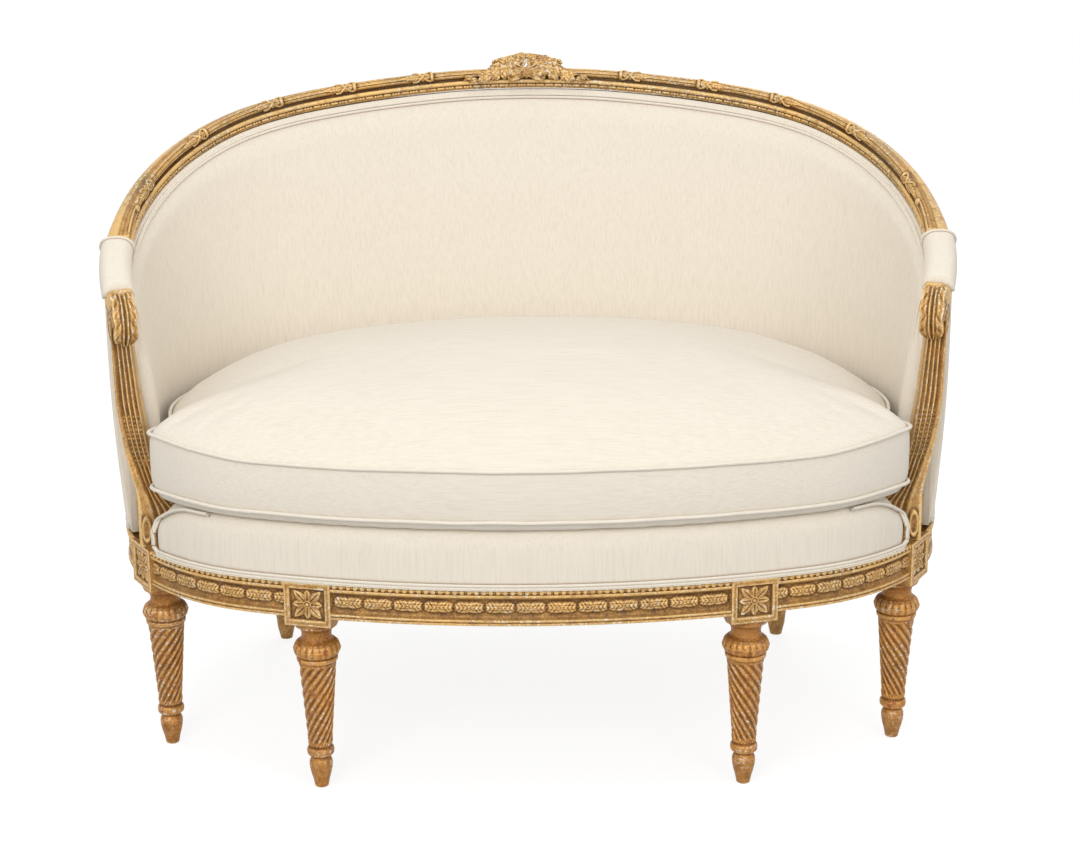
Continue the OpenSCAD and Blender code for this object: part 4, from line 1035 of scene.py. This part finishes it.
def die_relief(x, z):
    """Sunk panel with its rosette, and the block's rounded edges."""
    inside = np.minimum(PANEL_HALF_W - np.abs(x), PANEL_HALF_H - np.abs(z))
    sunk = -4.6 * mm * clip01(inside / (1.2 * mm))
    edge = 1.2 * mm * clip01(1 - np.minimum(DIE_W / 2 - np.abs(x), DIE_HALF_H - np.abs(z)) / (1.2 * mm))
    return sunk - edge + rosette(x, z) * (inside > 1.0 * mm)


def leg_axis(q):
    """Foot of a leg's axis, with its outward and sideways directions."""
    return (np.append(oval(q, LEG_OFF), 0.0), np.array([math.cos(q), math.sin(q), 0.0]),
            np.array([-math.sin(q), math.cos(q), 0.0]))


def die_piece(spot, q, side):
    """Square block: a carved face whose edges turn back round the sides to the middle of the back."""
    h = RAIL_TOP - DIE_Z
    drop = np.array([1.0, 0.6, 0.2, 0.02]) * DIE_W
    xs, zs = (np.concatenate([[-0.5] * 4, np.linspace(-0.5, 0.5, n), [0.5] * 4]) for n in (97, 91))
    dx, dz = (np.concatenate([drop, np.zeros(n), drop[::-1]]) for n in (97, 91))
    X, Z = np.meshgrid(xs * DIE_W, zs * h)
    back = np.maximum(*np.meshgrid(dx, dz))
    relief = np.where(back > 0, 0, die_relief(X, Z))
    c, out, across = leg_axis(q)
    depth = DIE_W / 2 - back + relief
    grid = c + X[..., None] * across + depth[..., None] * out + (Z + DIE_Z + h / 2)[..., None] * [0, 0, 1]
    cavity = grid_cavity(grid, (3, 3), (False, False), 1.0 * mm)
    sign = 1 if np.sum(cavity[47:52, 50:55]) > 0 else -1
    cavity = np.where(back > 0, 0.1, cavity * sign)
    rows, columns = X.shape
    edge = np.concatenate([np.arange(columns), np.arange(1, rows) * columns + columns - 1,
                           (rows - 1) * columns + np.arange(columns - 2, -1, -1),
                           np.arange(rows - 2, 0, -1) * columns])
    points = grid.reshape(-1, 3)
    points = np.concatenate([points, [points[edge].mean(0)]])
    fan = np.stack([np.full(len(edge), rows * columns), np.roll(edge, -1), edge], -1)
    quads = grid_quads(rows, columns, False, False)
    piece = mesh_piece("rosette_block_" + spot, points * [side, 1, 1], quads, fan,
                       np.append(cavity.ravel(), 0))
    dress(piece, gilt_rail, "leg_" + spot)


leg_knots = [
    (9, 0), (10.2, 0.8), (10.6, 3), (12.4, 12), (15, 21), (16.9, 30), (17.6, 37), (17.2, 42),
    (15.4, 46), (13.6, 48.5), (12.6, 50.5), (14.5, 51.6), (18.6, 52.6), (20.3, 54.6), (20.8, 58.5),
    (20.3, 62.4), (18.8, 64.6), (16.6, 66), (16.4, 67.5), (17.4, 69.5), (18.4, 76), (28.4, 204.5),
    (30.6, 205.6), (31, 208), (30.6, 211), (28.6, 212.4), (30.5, 213.6), (33.6, 216.8), (35.2, 221),
    (35.6, 224.5), (35, 228.6), (33, 232.4), (29.5, 235.4), (25.8, 236.8), (23.6, 239),
    (22.4, 243.5), (22.2, 248), (23.4, 252.5), (26.4, 257), (29.8, 259.6), (31.6, 260.4),
    (32.2, 262.5), (32.4, 266), (32.5, 269.4)]
leg_line = resample(leg_knots, 0.9)
FLUTES, SPIRAL_RISE, COLLAR_Z, RING_Z = 12, 205.0, 224.5, 58.5


def leg_grid():
    """A leg's surface in metres: outward, sideways and upward of its axis."""
    r, z = leg_line[:, :1], leg_line[:, 1:]
    turn = turns(168)[None, :]
    spiral = FLUTES * (turn + 2 * math.pi * z / SPIRAL_RISE)
    flute = wave(spiral)
    run = ease((z - 70) / 9) * np.sqrt(clip01((200 - z) / 7)) * (z < 200)
    d = -2.5 * run * flute ** 0.8
    d = d + 0.9 * ease((z - 67) / 2) * ease((80 - z) / 6) * np.cos(spiral) ** 2
    lobe = np.abs(np.cos(10 * turn)) ** 0.55
    collar = bump(z, COLLAR_Z, 12.2)
    d = d + collar * (1.9 * lobe - 2.6 + 0.9 * np.abs(np.cos(20 * turn)) * (z < 226))
    ring = bump(z, RING_Z, 6.4)
    d = d - 0.35 * ring * wave(9 * turn)
    square = 34.5 / np.maximum(np.abs(np.cos(turn)), np.abs(np.sin(turn)))
    d = d + clip01((z - 261.0) / 8.4) ** 1.5 * (np.minimum(square, 42) - 32.5)
    radius = (r + d) * mm
    high = np.broadcast_to(z * mm, radius.shape)
    return np.stack([radius * np.cos(turn), radius * np.sin(turn), high], -1)


def leg_piece(spot, q, side):
    c, out, across = leg_axis(q)
    local = leg_grid()
    grid = c + local[..., :1] * out + local[..., 1:2] * across + local[..., 2:] * [0, 0, 1]
    piece = closed_sweep("turned_leg_" + spot, grid * [side, 1, 1], carved=True, reach=(3, 4), scale=0.8 * mm)
    dress(piece, gilt_legs, "leg_" + spot)


for side, word in SIDES:
    for spot, q in (("front", FRONT_Q), ("corner", CORNER_Q)):
        leg_piece(f"{spot}_{word}", q, side)
        die_piece(f"{spot}_{word}", q, side)


# Nodes that keep their CAD shapes: the back legs, and the plain wood and webbing inside
for material, names in [
        (gilt_olive, ("leg_back_left", "leg_back_right")),
        (beech, ("tenon_pegs", "seat_brace_left", "seat_brace_right", "lower_back_rail",
                 "lower_side_rail_left", "lower_side_rail_right")),
        (jute, ("seat_webbing", "seat_hessian", "back_webbing"))]:
    for name in names:
        for slot in frame["nodes"][name].material_slots:
            slot.material = material


# Upholstery of the back, on the surfaces that the CAD source uses
BAR_IN, PANEL_FOOT, PANEL_GAP, EDGE_CLEAR = 0.036, 0.392, 0.0008, 0.002
WEB_T, SOFT_GAP, PAD_T, PAD_SWELL, PAD_HEM = 0.0016, 0.0003, 0.016, 0.014, 0.024
PAD_BACK_FOOT = -BAR_IN - 2 * WEB_T - SOFT_GAP
PAD_BACK_HEAD = -CREST_T * 0.8


def s_at(y):
    """Length at which the back's side passes a depth y."""
    return BOW_LEN + (END_ANGLE - np.arcsin((y - SET_Y) / (END_R + FLARE / 2))) * END_R


def under_crest(s, side=0):
    """Height of the crest's underside, under its middle or, where side is 1, under its outer edge."""
    a = along(s)
    lean = np.arctan2(crest_off(s), top_z(s) - RAIL_TOP)
    half = CREST_H / 2 / np.hypot(a[..., 0], a[..., 1])
    return spine(s)[..., 2] - half - side * CREST_T / 2 * np.sin(lean) - PANEL_GAP


HEAD_REACH = float(s_at(scroll_centre()[1] + SCROLL_R + EDGE_CLEAR))
edge_head = float(under_crest(np.array(HEAD_REACH)))
edge_rows = np.array([[(r[0] - PANEL_FOOT) / (edge_head - PANEL_FOOT), s_at(r[4] + EDGE_CLEAR)]
                      for r in support_rows() if r[0] < edge_head])


def panel_s(t, w):
    """Length at a share t of the way to a panel's edge, w of the way up it."""
    edge = np.minimum(np.interp(w, edge_rows[:, 0], edge_rows[:, 1]), edge_rows[0, 1])
    return t * mix(edge, HEAD_REACH, w ** 6)


def panel_at(t, w, foot_off, head_off, side=0, foot_z=PANEL_FOOT):
    """Points of an upright panel, offset from the oval at its foot and from the crest at its head."""
    t, w = np.broadcast_arrays(np.asarray(t, float), np.asarray(w, float))
    head_s = panel_s(t, np.ones_like(w))
    p = plan(panel_s(t, w), mix(foot_off, crest_off(head_s) + head_off, w))
    return with_z(p, mix(foot_z, under_crest(head_s, side), w))


def swell(w):
    return np.sin(math.pi * clip01(w) ** 0.8)


def pad_front(t, w, lift=0.0):
    fold = 1 - 0.55 * ease((w - 0.9) / 0.1)
    near = clip01((1 - np.abs(t)) / 0.035)
    full = 0.25 + 0.75 * np.sqrt(1 - (1 - near) ** 2)
    return panel_at(t, w, PAD_BACK_FOOT - full * (PAD_T + PAD_SWELL * swell(w)) - lift,
                    PAD_BACK_HEAD - full * (PAD_T * fold + PAD_SWELL * swell(w)) - lift)


def ripple(points, scale, stretch, seed=0.0):
    """Smooth random values over points, stretched along some axes."""
    flat = points.reshape(-1, 3) * scale * np.asarray(stretch) + seed
    return np.array([noise.noise(Vector(p)) for p in flat]).reshape(points.shape[:-1])


def inside_back():
    t = np.linspace(-1, 1, 361)[:, None]
    w_back = np.linspace(0, 1, 6)[None, :]
    w_front = (1 - np.linspace(0, 1, 81))[None, :]
    front = pad_front(t, w_front)
    pull = ripple(front, 9.0, (1, 1, 0.25)) * 0.9 * mm * np.sin(math.pi * w_front) ** 0.5
    front = pad_front(t, w_front, pull)
    back = panel_at(t, w_back, PAD_BACK_FOOT, PAD_BACK_HEAD)
    hem = [0, 0, PAD_HEM]
    grid = np.concatenate([back[:, :1] - hem, back, front, front[:, -1:] - hem], 1)
    piece = dress(closed_sweep("inside_back_linen", grid), back_linen, "inside_back_pad")


def tube_grid(path, r, sides, closed):
    """Rings round a path, square to its run."""
    ahead = np.roll(path, -1, 0) - np.roll(path, 1, 0) if closed else np.gradient(path, axis=0)
    ahead = unit(ahead)
    up = np.array([0, 0, 1.0]) + 0 * ahead
    steep = np.abs(ahead[:, 2]) > 0.94
    up[steep] = [0, 1.0, 0]
    side = unit(np.cross(ahead, up))
    up = np.cross(side, ahead)
    k = turns(sides)[:, None]
    return path[:, None] + r * (np.cos(k) * side[:, None] + np.sin(k) * up[:, None])


def cord_piece(name, path, r, material, node_name, body="sofa_frame", closed=False, sides=10):
    grid = tube_grid(path, r, sides, closed)
    if closed:
        piece = mesh_piece(name, grid, grid_quads(len(path), sides, True, True))
    else:
        piece = closed_sweep(name, grid)
    dress(piece, material, node_name, body)


WELT_R = 2.25 * mm


def back_welts():
    """Double welt along the crest and down behind the arms, with the line of stitches inside it."""
    t = np.linspace(-0.985, 0.985, 181)
    rows = [(0.986, WELT_R, 2.2, back_linen), (0.9775, WELT_R, 2.2, back_linen),
            (0.9725, 0.55 * mm, 0.5, thread)]
    for k, (w, r, lift, material) in enumerate(rows):
        top = pad_front(t, np.full(len(t), w), lift * mm)
        down = pad_front(np.full(12, 0.9995 - 0.006 * k), np.linspace(w - 0.02, 0.70, 12),
                         lift * mm * np.linspace(0.8, -2.4, 12))
        path = smooth_path(np.concatenate([(down * [-1, 1, 1])[::-1], top[4:-4], down]), 4 * mm)
        cord_piece(f"inside_back_welt_{k + 1}", path, r, material, "inside_back_welt")


inside_back()
back_welts()

COVER_T, COVER_INSET, COVER_SWELL = 0.004, 0.001, 0.005
COVER_Z = RAIL_TOP + 2 * (0.0035 + SOFT_GAP)


def cover_at(t, w, out):
    off = out - COVER_T - COVER_INSET + COVER_SWELL * swell(w)
    return panel_at(t, w, off, off - COVER_INSET, side=1, foot_z=COVER_Z)


def outside_back():
    """Cover of the outside back, turned in at its front edges, with its double welt and stitches."""
    t = np.linspace(-1, 1, 361)[:, None]
    w = np.linspace(0, 1, 61)[None, :]
    outer = cover_at(t, w, COVER_T)
    pull = ripple(outer, 8.0, (1, 1, 0.25), 7.0) * 0.7 * mm * np.sin(math.pi * w) ** 0.5
    outer = cover_at(t, w, COVER_T + pull)
    turned = -0.030 * ease((np.abs(t) - 0.984) / 0.016)
    grid = np.concatenate([outer, cover_at(t, w[:, ::-1], turned)], 1)
    piece = dress(closed_sweep("outside_back_linen", grid), back_linen, "outside_back_cover")
    s = panel_s(np.linspace(-0.995, 0.995, 181), np.zeros(181))
    rows = [(2.4, WELT_R, 0.6, back_linen), (7.0, WELT_R, 0.8, back_linen), (10.0, 0.5 * mm, -0.8, thread)]
    for k, (up, r, off, material) in enumerate(rows):
        foot = with_z(plan(s, off * mm - 0.0022), RAIL_TOP + up * mm + 0.0004)
        rise = cover_at(np.full(30, 0.994 - 0.006 * k), np.linspace(0.03, 0.97, 30), COVER_T + off * mm)
        path = smooth_path(np.concatenate([(rise * [-1, 1, 1])[::-1], foot[3:-3], rise]), 4 * mm)
        cord_piece(f"outside_back_welt_{k + 1}", path, r, material, "outside_back_welt")


outside_back()


# Stuffed deck with a rolled lip, its double welt and pull marks
DECK_TOP, DECK_CROWN, DECK_SIDE, LIP_Q = 0.425, 0.030, -0.066, math.radians(-39.5)
SUPPORT_ROOM, LIP_OFF = 0.014, -0.001


def deck_outline():
    """Deck's outline: along the front rail, round the arm supports and inside the back."""
    rows = support_rows()
    inner, back = rows[0, 1] - SUPPORT_ROOM, rows[0, 4] + SUPPORT_ROOM
    lip = oval(LIP_Q, LIP_OFF)
    front_y = SET_Y + (lip[1] - SET_Y) * inner / lip[0]
    q = np.linspace(-math.pi / 2, LIP_Q, 90)
    side_q = np.linspace(math.radians(-24), math.pi / 2, 120)
    notch = [[(lip[0] + inner) / 2, (lip[1] + front_y) / 2], [inner, front_y], [inner, (front_y + back) / 2],
             [inner, back]]
    return even_loop(np.concatenate([oval(q, LIP_OFF), notch, oval(side_q, DECK_SIDE)]), 640)


def dome(x, y):
    return DECK_CROWN * clip01(1 - (x / 0.5) ** 2 - ((y - SET_Y) / 0.29) ** 2)


def lip_fall(x):
    """How far the deck's front lip falls toward the arm supports."""
    end = oval(LIP_Q, LIP_OFF)[0]
    return 0.040 * clip01((np.abs(x) / end - 0.88) / 0.12) ** 2


def deck_piece():
    """Stuffed deck, with a row of pull marks down its front lip."""
    loop = deck_outline()
    out = [0.05, 0.5, 0.97, 0.992, 0.998, 1, 1, 0.996, 0.984, 0.966, 0.94, 0.85, 0.7, 0.5, 0.3, 0.08]
    up = [0, 0, 0, 0.02, 0.12, 0.35, 0.6, 0.78, 0.91, 0.975, 1, 1, 1, 1, 1, 1]
    u = np.linspace(0, len(up) - 1, 76)
    share = through(out, u)[:, None]
    high = clip01(through(up, u))[:, None]
    x = loop[None, :, 0] * share
    y = SET_Y + (loop[None, :, 1] - SET_Y) * share
    z = mix(RAIL_TOP + SOFT_GAP, DECK_TOP - lip_fall(x), high) + dome(x, y) * high ** 8
    grid = np.stack([x, y, z], -1)
    lip = high * (share > 0.9) * (y < -0.2)
    for k, c in enumerate([-0.46, -0.31, -0.172, -0.028, 0.108, 0.247, 0.305, 0.43]):
        reach = bell(high, 0.97, 0.12 + 0.03 * (k % 3))
        z_dip = 1.6 * mm * bell(x - c, 0.006 * (high - 1), 1.8 * mm) * reach * lip
        soft = 0.8 * mm * bell(x, c, 14 * mm) * reach * lip
        grid[..., 2] -= z_dip * 0.5 + soft * 0.5
        grid[..., 1] += z_dip + soft
    grid[..., 1] -= 0.5 * mm * ripple(grid, 22.0, (1, 1, 0.4), 3.0) * lip
    piece = dress(closed_sweep("stuffed_deck", grid), back_linen, "seat_deck")


def deck_welts():
    """Double welt and stitches along the rail, up beside the arm supports and back over the lip."""
    q = np.linspace(-math.pi / 2, math.radians(-40.6), 60)
    rows = [(WELT_R, 0.1, 2.6, back_linen), (WELT_R, 0.7, 7.2, back_linen), (0.5 * mm, -0.4, 10.2, thread)]
    for k, (r, off, up, material) in enumerate(rows):
        inset = (up - 2.6) * mm
        foot = with_z(oval(q, off * mm), RAIL_TOP + up * mm + 0.0002)
        end = oval(LIP_Q - inset / 0.35, off * mm + 0.0016)
        rise_z = np.linspace(RAIL_TOP + 0.012 + inset * 0.4, DECK_TOP - 0.052 - inset * 0.4, 5)
        rise = with_z(np.tile(end, (5, 1)), rise_z)
        back_q = np.linspace(LIP_Q - math.radians(1.2) - inset / 0.5, math.radians(-60), 10)
        p = oval(back_q, -0.0022 - inset * 0.9)
        back = with_z(p, DECK_TOP + 0.0004 - lip_fall(p[:, 0]) - 0.6 * inset)
        right = np.concatenate([foot[:-1], rise, back])
        path = np.concatenate([(right[1:] * [-1, 1, 1])[::-1], right])
        cord_piece(f"deck_welt_{k + 1}", smooth_path(path, 3 * mm), r, material, "deck_welt")


deck_piece()
deck_welts()


# Arm pads
PAD_W, PAD_H, PAD_WELT_R = 0.047, 0.026, 2.1 * mm
pad_flat = CREST_H / 2 - CREST_H * 0.48 + SOFT_GAP


def pad_outline():
    """Section of an arm pad: flat below and full above, as shares of its width and height."""
    a = np.radians(np.linspace(-12, 192, 41))
    top = np.stack([0.53 * np.sign(np.cos(a)) * np.abs(np.cos(a)) ** 0.72,
                    np.maximum(0.12 + 0.84 * np.clip(np.sin(a), -0.14, 1), 0.0)], -1)
    return np.concatenate([top, [[-0.4, 0.0], [0.0, 0.0], [0.4, 0.0]]])


def arm_pad(side, word):
    """Arm pad, a double welt and stitches over its rear end and a welt along each of its sides."""
    outline = pad_outline()
    s = steps(PAD_S0 + SOFT_GAP, PAD_S1 - SOFT_GAP, 1.5 * mm)
    t = (s - s[0]) / (s[-1] - s[0])
    rise = clip01(1 - clip01((0.10 - t) / 0.10) ** 2.5 * 0.36 - clip01((t - 0.88) / 0.12) ** 2.5 * 0.40)
    n = outline[None, :, 0] * PAD_W * (1 - 0.05 * (1 - rise[:, None]))
    b = pad_flat + outline[None, :, 1] * PAD_H * rise[:, None]
    grid = beside(side * s, n, b)
    piece = dress(closed_sweep(f"arm_pad_linen_{word}", grid), back_linen, f"arm_pad_{word}")
    top = outline[:41]
    rows = [(1.8, PAD_WELT_R, 0.9, back_linen), (6.1, PAD_WELT_R, 1.0, back_linen),
            (8.7, 0.6 * mm, 0.2, thread)]
    for k, (d, r, lift, material) in enumerate(rows):
        grow = 1 + 0.04 * (k < 2)
        share = np.interp(d / 105.0, t, rise)
        path = beside(np.full(41, side * (PAD_S0 + d * mm)), top[:, 0] * PAD_W * grow,
                      pad_flat + top[:, 1] * PAD_H * share + (top[:, 1] > 0.3) * lift * mm)
        cord_piece(f"arm_pad_end_welt_{word}_{k + 1}", smooth_path(path, 2 * mm), r, material,
                   f"arm_pad_welt_{word}")
    for k, edge in enumerate((-1, 1)):
        run = side * steps(PAD_S0 + 3 * mm, PAD_S1 - 3 * mm, 4 * mm)
        path = beside(run, np.full(len(run), edge * (ARM_W / 2 + 0.0025)),
                      np.full(len(run), pad_flat - 0.0025))
        cord_piece(f"arm_pad_side_welt_{word}_{k + 1}", path, 2.0 * mm, back_linen, f"arm_pad_welt_{word}")


for side, word in SIDES:
    arm_pad(side, word)


# Loose cushion
CUSHION_FOOT = DECK_TOP + SOFT_GAP
FOOT_SPREAD = 1.13
SEAM_LOW = CUSHION_FOOT + 0.017
SEAM_HIGH = SEAM_LOW + 0.076
CROWN, DRAW, LIFT, SIDE_DROP = 0.117, 0.007, 0.013, 0.009
CUSHION_SIDE, BOXING_IN, PIPING_OUT, PIPING_R = -0.074, 0.0035, 0.0032, 2.9 * mm
FRAMES, VOXEL, PRESSURE, FABRIC_MASS = 20, 0.008, 4.0, 0.3


def cushion_outline():
    """Seam's outline: over the front rail as far as the arm supports, inside the pads behind them."""
    q = np.linspace(-math.pi / 2, math.pi / 2, 500)
    return even_loop(oval(q, mix(OVERHANG, CUSHION_SIDE, ease((np.degrees(q) + 41) / 7.5))), 560)


def loop_out(loop, out):
    run = unit(np.roll(loop, -1, 0) - np.roll(loop, 1, 0))
    return loop + out * np.stack([run[:, 1], -run[:, 0]], -1)


def cushion_facing(p):
    return np.degrees(np.arctan2(p[..., 1] - SET_Y, np.maximum(0, np.abs(p[..., 0]) - END_X)))


def corner_rise(p):
    """How far the front corners are lifted."""
    return LIFT * ease(1 - np.abs(cushion_facing(p) + 44) / 30)


def crown(k, side):
    """Height of the top above its seam, k of the way out. The sides are fuller than the front and back."""
    edge = mix(0.31, 0.46, side)
    return CROWN * (edge * (1 - k ** mix(14, 9, side)) + (1 - edge) * (1 - k ** 2.1))


def sideways(p):
    """0 at the cushion's front corners and front, 1 along its sides."""
    q = cushion_facing(p)
    return ease((q + 40) / 22) * ease((75 - q) / 40)


cushion_mid = np.array([0, SET_Y + (DECK_SIDE - OVERHANG) / 2])


def seam_height(p, w):
    return mix(SEAM_LOW, SEAM_HIGH - SIDE_DROP * sideways(p), w) + corner_rise(p) * mix(0.3, 1, w)


def cushion_grid():
    """Rings from the middle of the underside, over the seams, to the middle of the top."""
    base = cushion_outline()
    loop = loop_out(base, -DRAW)
    rounder = blur(loop[:, None], 34, 0, True)[:, 0]
    side = sideways(loop)
    rings = []
    for k in (0.04, 0.2, 0.4, 0.56, 0.72, 0.82, 0.9, 0.95, 0.98):
        p = cushion_mid + (loop - cushion_mid) * k
        under = FOOT_SPREAD * dome(p[:, 0] / FOOT_SPREAD, SET_Y + (p[:, 1] - SET_Y) / FOOT_SPREAD)
        rings.append(np.column_stack([p, CUSHION_FOOT + under]))
    for w in np.linspace(0, 1, 13):
        fill = 1 - (2 * w - 1) ** 4
        p = loop_out(base, -DRAW + (DRAW - BOXING_IN) * fill)
        rings.append(np.column_stack([p, seam_height(loop, w)]))
    for k in (0.992, 0.98, 0.96, 0.93, 0.89, 0.84, 0.78, 0.7, 0.61, 0.5, 0.4, 0.3, 0.2, 0.1, 0.03):
        p = cushion_mid + (mix(rounder, loop, ease((k - 0.35) / 0.65)) - cushion_mid) * k
        z = SEAM_HIGH - SIDE_DROP * side * k ** 5 + crown(k, side) + corner_rise(loop) * k ** 3.2
        rings.append(np.column_stack([p, z]))
    return np.stack(rings)


def apply_modifiers(piece):
    view = bpy.context.evaluated_depsgraph_get()
    view.update()
    mesh = bpy.data.meshes.new_from_object(piece.evaluated_get(view))
    old = piece.data
    piece.modifiers.clear()
    piece.data = mesh
    bpy.data.meshes.remove(old)


def move_to(piece, points):
    piece.data.vertices.foreach_set("co", points.astype(np.float32).ravel())
    piece.data.update()


def coordinates(piece):
    co = np.empty(len(piece.data.vertices) * 3)
    piece.data.vertices.foreach_get("co", co)
    return co.reshape(-1, 3)


def distance_to(points, line, pace):
    """Distance to every pace-th point of a line, at most 1 metre."""
    near = np.full(len(points), 1.0)
    for k in range(0, len(line), pace):
        near = np.minimum(near, np.linalg.norm(points - line[k], axis=1))
    return near


def inflate(piece, seams, cap):
    """Cloth simulation under inner pressure, with the seams held where they are sewn."""
    remesh = piece.modifiers.new("remesh", "REMESH")
    remesh.mode = "VOXEL"
    remesh.voxel_size = VOXEL
    apply_modifiers(piece)
    start = coordinates(piece)
    near = distance_to(start, seams, 2)
    hold = piece.vertex_groups.new(name="seam")
    weight = clip01(1.5 - near / (9 * mm))
    weight[start[:, 2] < CUSHION_FOOT + 0.014] = 1
    for level in (0.25, 0.5, 0.75, 1.0):
        chosen = np.where((weight > level - 0.25) & (weight <= level))[0]
        hold.add([int(v) for v in chosen], level, "REPLACE")
    cloth = piece.modifiers.new("cloth", "CLOTH")
    cloth.settings.vertex_group_mass = "seam"
    cloth.settings.use_pressure = True
    cloth.settings.uniform_pressure_force = PRESSURE
    cloth.settings.quality = 5
    cloth.settings.mass = FABRIC_MASS
    cloth.settings.effector_weights.gravity = 0
    cloth.collision_settings.use_collision = False
    cloth.point_cache.frame_start = 1
    cloth.point_cache.frame_end = FRAMES
    for f in range(1, FRAMES + 1):
        scene.frame_set(f)
    apply_modifiers(piece)
    moved = coordinates(piece) - start
    length = np.linalg.norm(moved, axis=1, keepdims=True)
    moved *= np.minimum(1, cap / np.maximum(length, 1e-9))
    move_to(piece, start + moved)
    scene.frame_set(1)


def cushion_piece():
    """Loose cushion, puffed out between its seams and softened by feathers, and its two pipings."""
    piece = closed_sweep("loose_cushion_linen", cushion_grid())
    base = cushion_outline()
    loop = loop_out(base, -DRAW)
    seams = [np.column_stack([loop, seam_height(loop, w)]) for w in (0, 1)]
    inflate(piece, np.concatenate(seams), 9 * mm)
    subdivide = piece.modifiers.new("smooth", "SUBSURF")
    subdivide.levels = subdivide.render_levels = 1
    apply_modifiers(piece)
    co = coordinates(piece)
    near_seam = np.minimum(*(distance_to(co, line, 4) for line in seams))
    free = clip01((near_seam - 6 * mm) / (25 * mm)) * (co[:, 2] > CUSHION_FOOT + 0.02)
    soft = ripple(co, 6.0, (1, 1.5, 1), 11.0) * 3.0 * mm + ripple(co, 19.0, (0.7, 1.3, 1), 5.0) * 1.0 * mm
    co[:, 2] += soft * free
    piece.data.polygons.foreach_set("use_smooth", np.ones(len(piece.data.polygons), bool))
    move_to(piece, co)
    dress(piece, seat_linen, "seat_cushion", "loose_cushion")
    for w, word in ((0, "bottom"), (1, "top")):
        line = np.column_stack([loop_out(base, -DRAW + PIPING_OUT), seam_height(loop, w)])
        line[:, 2] += ripple(line, 14.0, (1, 1, 1), 2.0 + w) * 1.2 * mm
        cord_piece(f"cushion_piping_{word}_cord", line, PIPING_R, seat_linen, f"cushion_piping_{word}",
                   "loose_cushion", closed=True, sides=12)


cushion_piece()


# Stage, lights and camera
def seen_rays(tree):
    """1 for rays from the camera, off polished surfaces and through clear ones."""
    rays = node(tree, "ShaderNodeLightPath").outputs
    polished = math_node(tree, "MAXIMUM", rays["Is Glossy Ray"], rays["Is Transmission Ray"])
    return math_node(tree, "MAXIMUM", rays["Is Camera Ray"], polished)


def stage():
    material, tree, shader = new_material("white_floor")
    shader.inputs["Roughness"].default_value = 1.0
    shader.inputs["Base Color"].default_value = (0.42, 0.42, 0.42, 1)
    soft = node(tree, "ShaderNodeBsdfDiffuse", {"Color": (0.27, 0.27, 0.27, 1)})
    glow = node(tree, "ShaderNodeEmission", {"Color": (1, 1, 1, 1), "Strength": 0.82})
    bright = node(tree, "ShaderNodeAddShader", {0: soft.outputs[0], 1: glow.outputs[0]})
    mixed = node(tree, "ShaderNodeMixShader", {0: seen_rays(tree), 1: shader.outputs[0],
                                               2: bright.outputs[0]})
    output = next(n for n in tree.nodes if n.type == "OUTPUT_MATERIAL")
    tree.links.new(mixed.outputs[0], output.inputs["Surface"])
    turn = turns(64)
    rings = np.array([0.0, 2, 5, 9, 14, 40])[:, None]
    points = np.stack([rings * np.cos(turn), rings * np.sin(turn), 0 * rings * turn], -1)
    floor = mesh_piece("floor", points, grid_quads(len(rings), 64)[:, ::-1])
    floor.data.materials.append(material)
    floor.location.z = -0.0002


def world():
    made = bpy.data.worlds.new("studio")
    scene.world = made
    made.use_nodes = True
    tree = made.node_tree
    tree.nodes.clear()
    fill = node(tree, "ShaderNodeBackground", {"Color": (1, 1, 1, 1), "Strength": 0.72})
    white = node(tree, "ShaderNodeBackground", {"Color": (1, 1, 1, 1), "Strength": 1.0})
    mixed = node(tree, "ShaderNodeMixShader", {0: seen_rays(tree), 1: fill.outputs[0], 2: white.outputs[0]})
    node(tree, "ShaderNodeOutputWorld", {"Surface": mixed.outputs[0]})


def lamp(name, place, aim, size, power):
    data = bpy.data.lights.new(name, "AREA")
    data.energy = power
    data.shape = "DISK"
    data.size = size
    made = bpy.data.objects.new(name, data)
    made.location = place
    made.rotation_euler = (Vector(aim) - Vector(place)).to_track_quat("-Z", "Y").to_euler()
    scene.collection.objects.link(made)


def camera():
    data = bpy.data.cameras.new("camera")
    data.sensor_width = 36.0
    data.lens = 2000.0 / 1080.0 * 36.0
    data.shift_x = 0.0102
    data.shift_y = -0.05
    data.clip_end = 60.0
    made = bpy.data.objects.new("camera", data)
    made.location = (0.0, -3.137, 1.352)
    made.rotation_euler = (math.radians(90 - 14.3), 0.0, 0.0)
    made.rotation_euler.rotate_axis("Z", math.radians(-0.5))
    scene.collection.objects.link(made)
    scene.camera = made


stage()
world()
lamp("key", (-1.3, -3.4, 2.3), (0, 0, 0.6), 2.2, 54)
lamp("fill", (1.9, -3.3, 1.9), (0, 0, 0.6), 2.4, 32)
lamp("top", (0.0, -0.4, 3.2), (0, 0, 0.4), 2.2, 12)
lamp("back", (0.8, 3.4, 2.2), (0, 0, 0.5), 2.4, 26)
camera()
scene.view_settings.view_transform = "Standard"

bpy.context.view_layer.update()
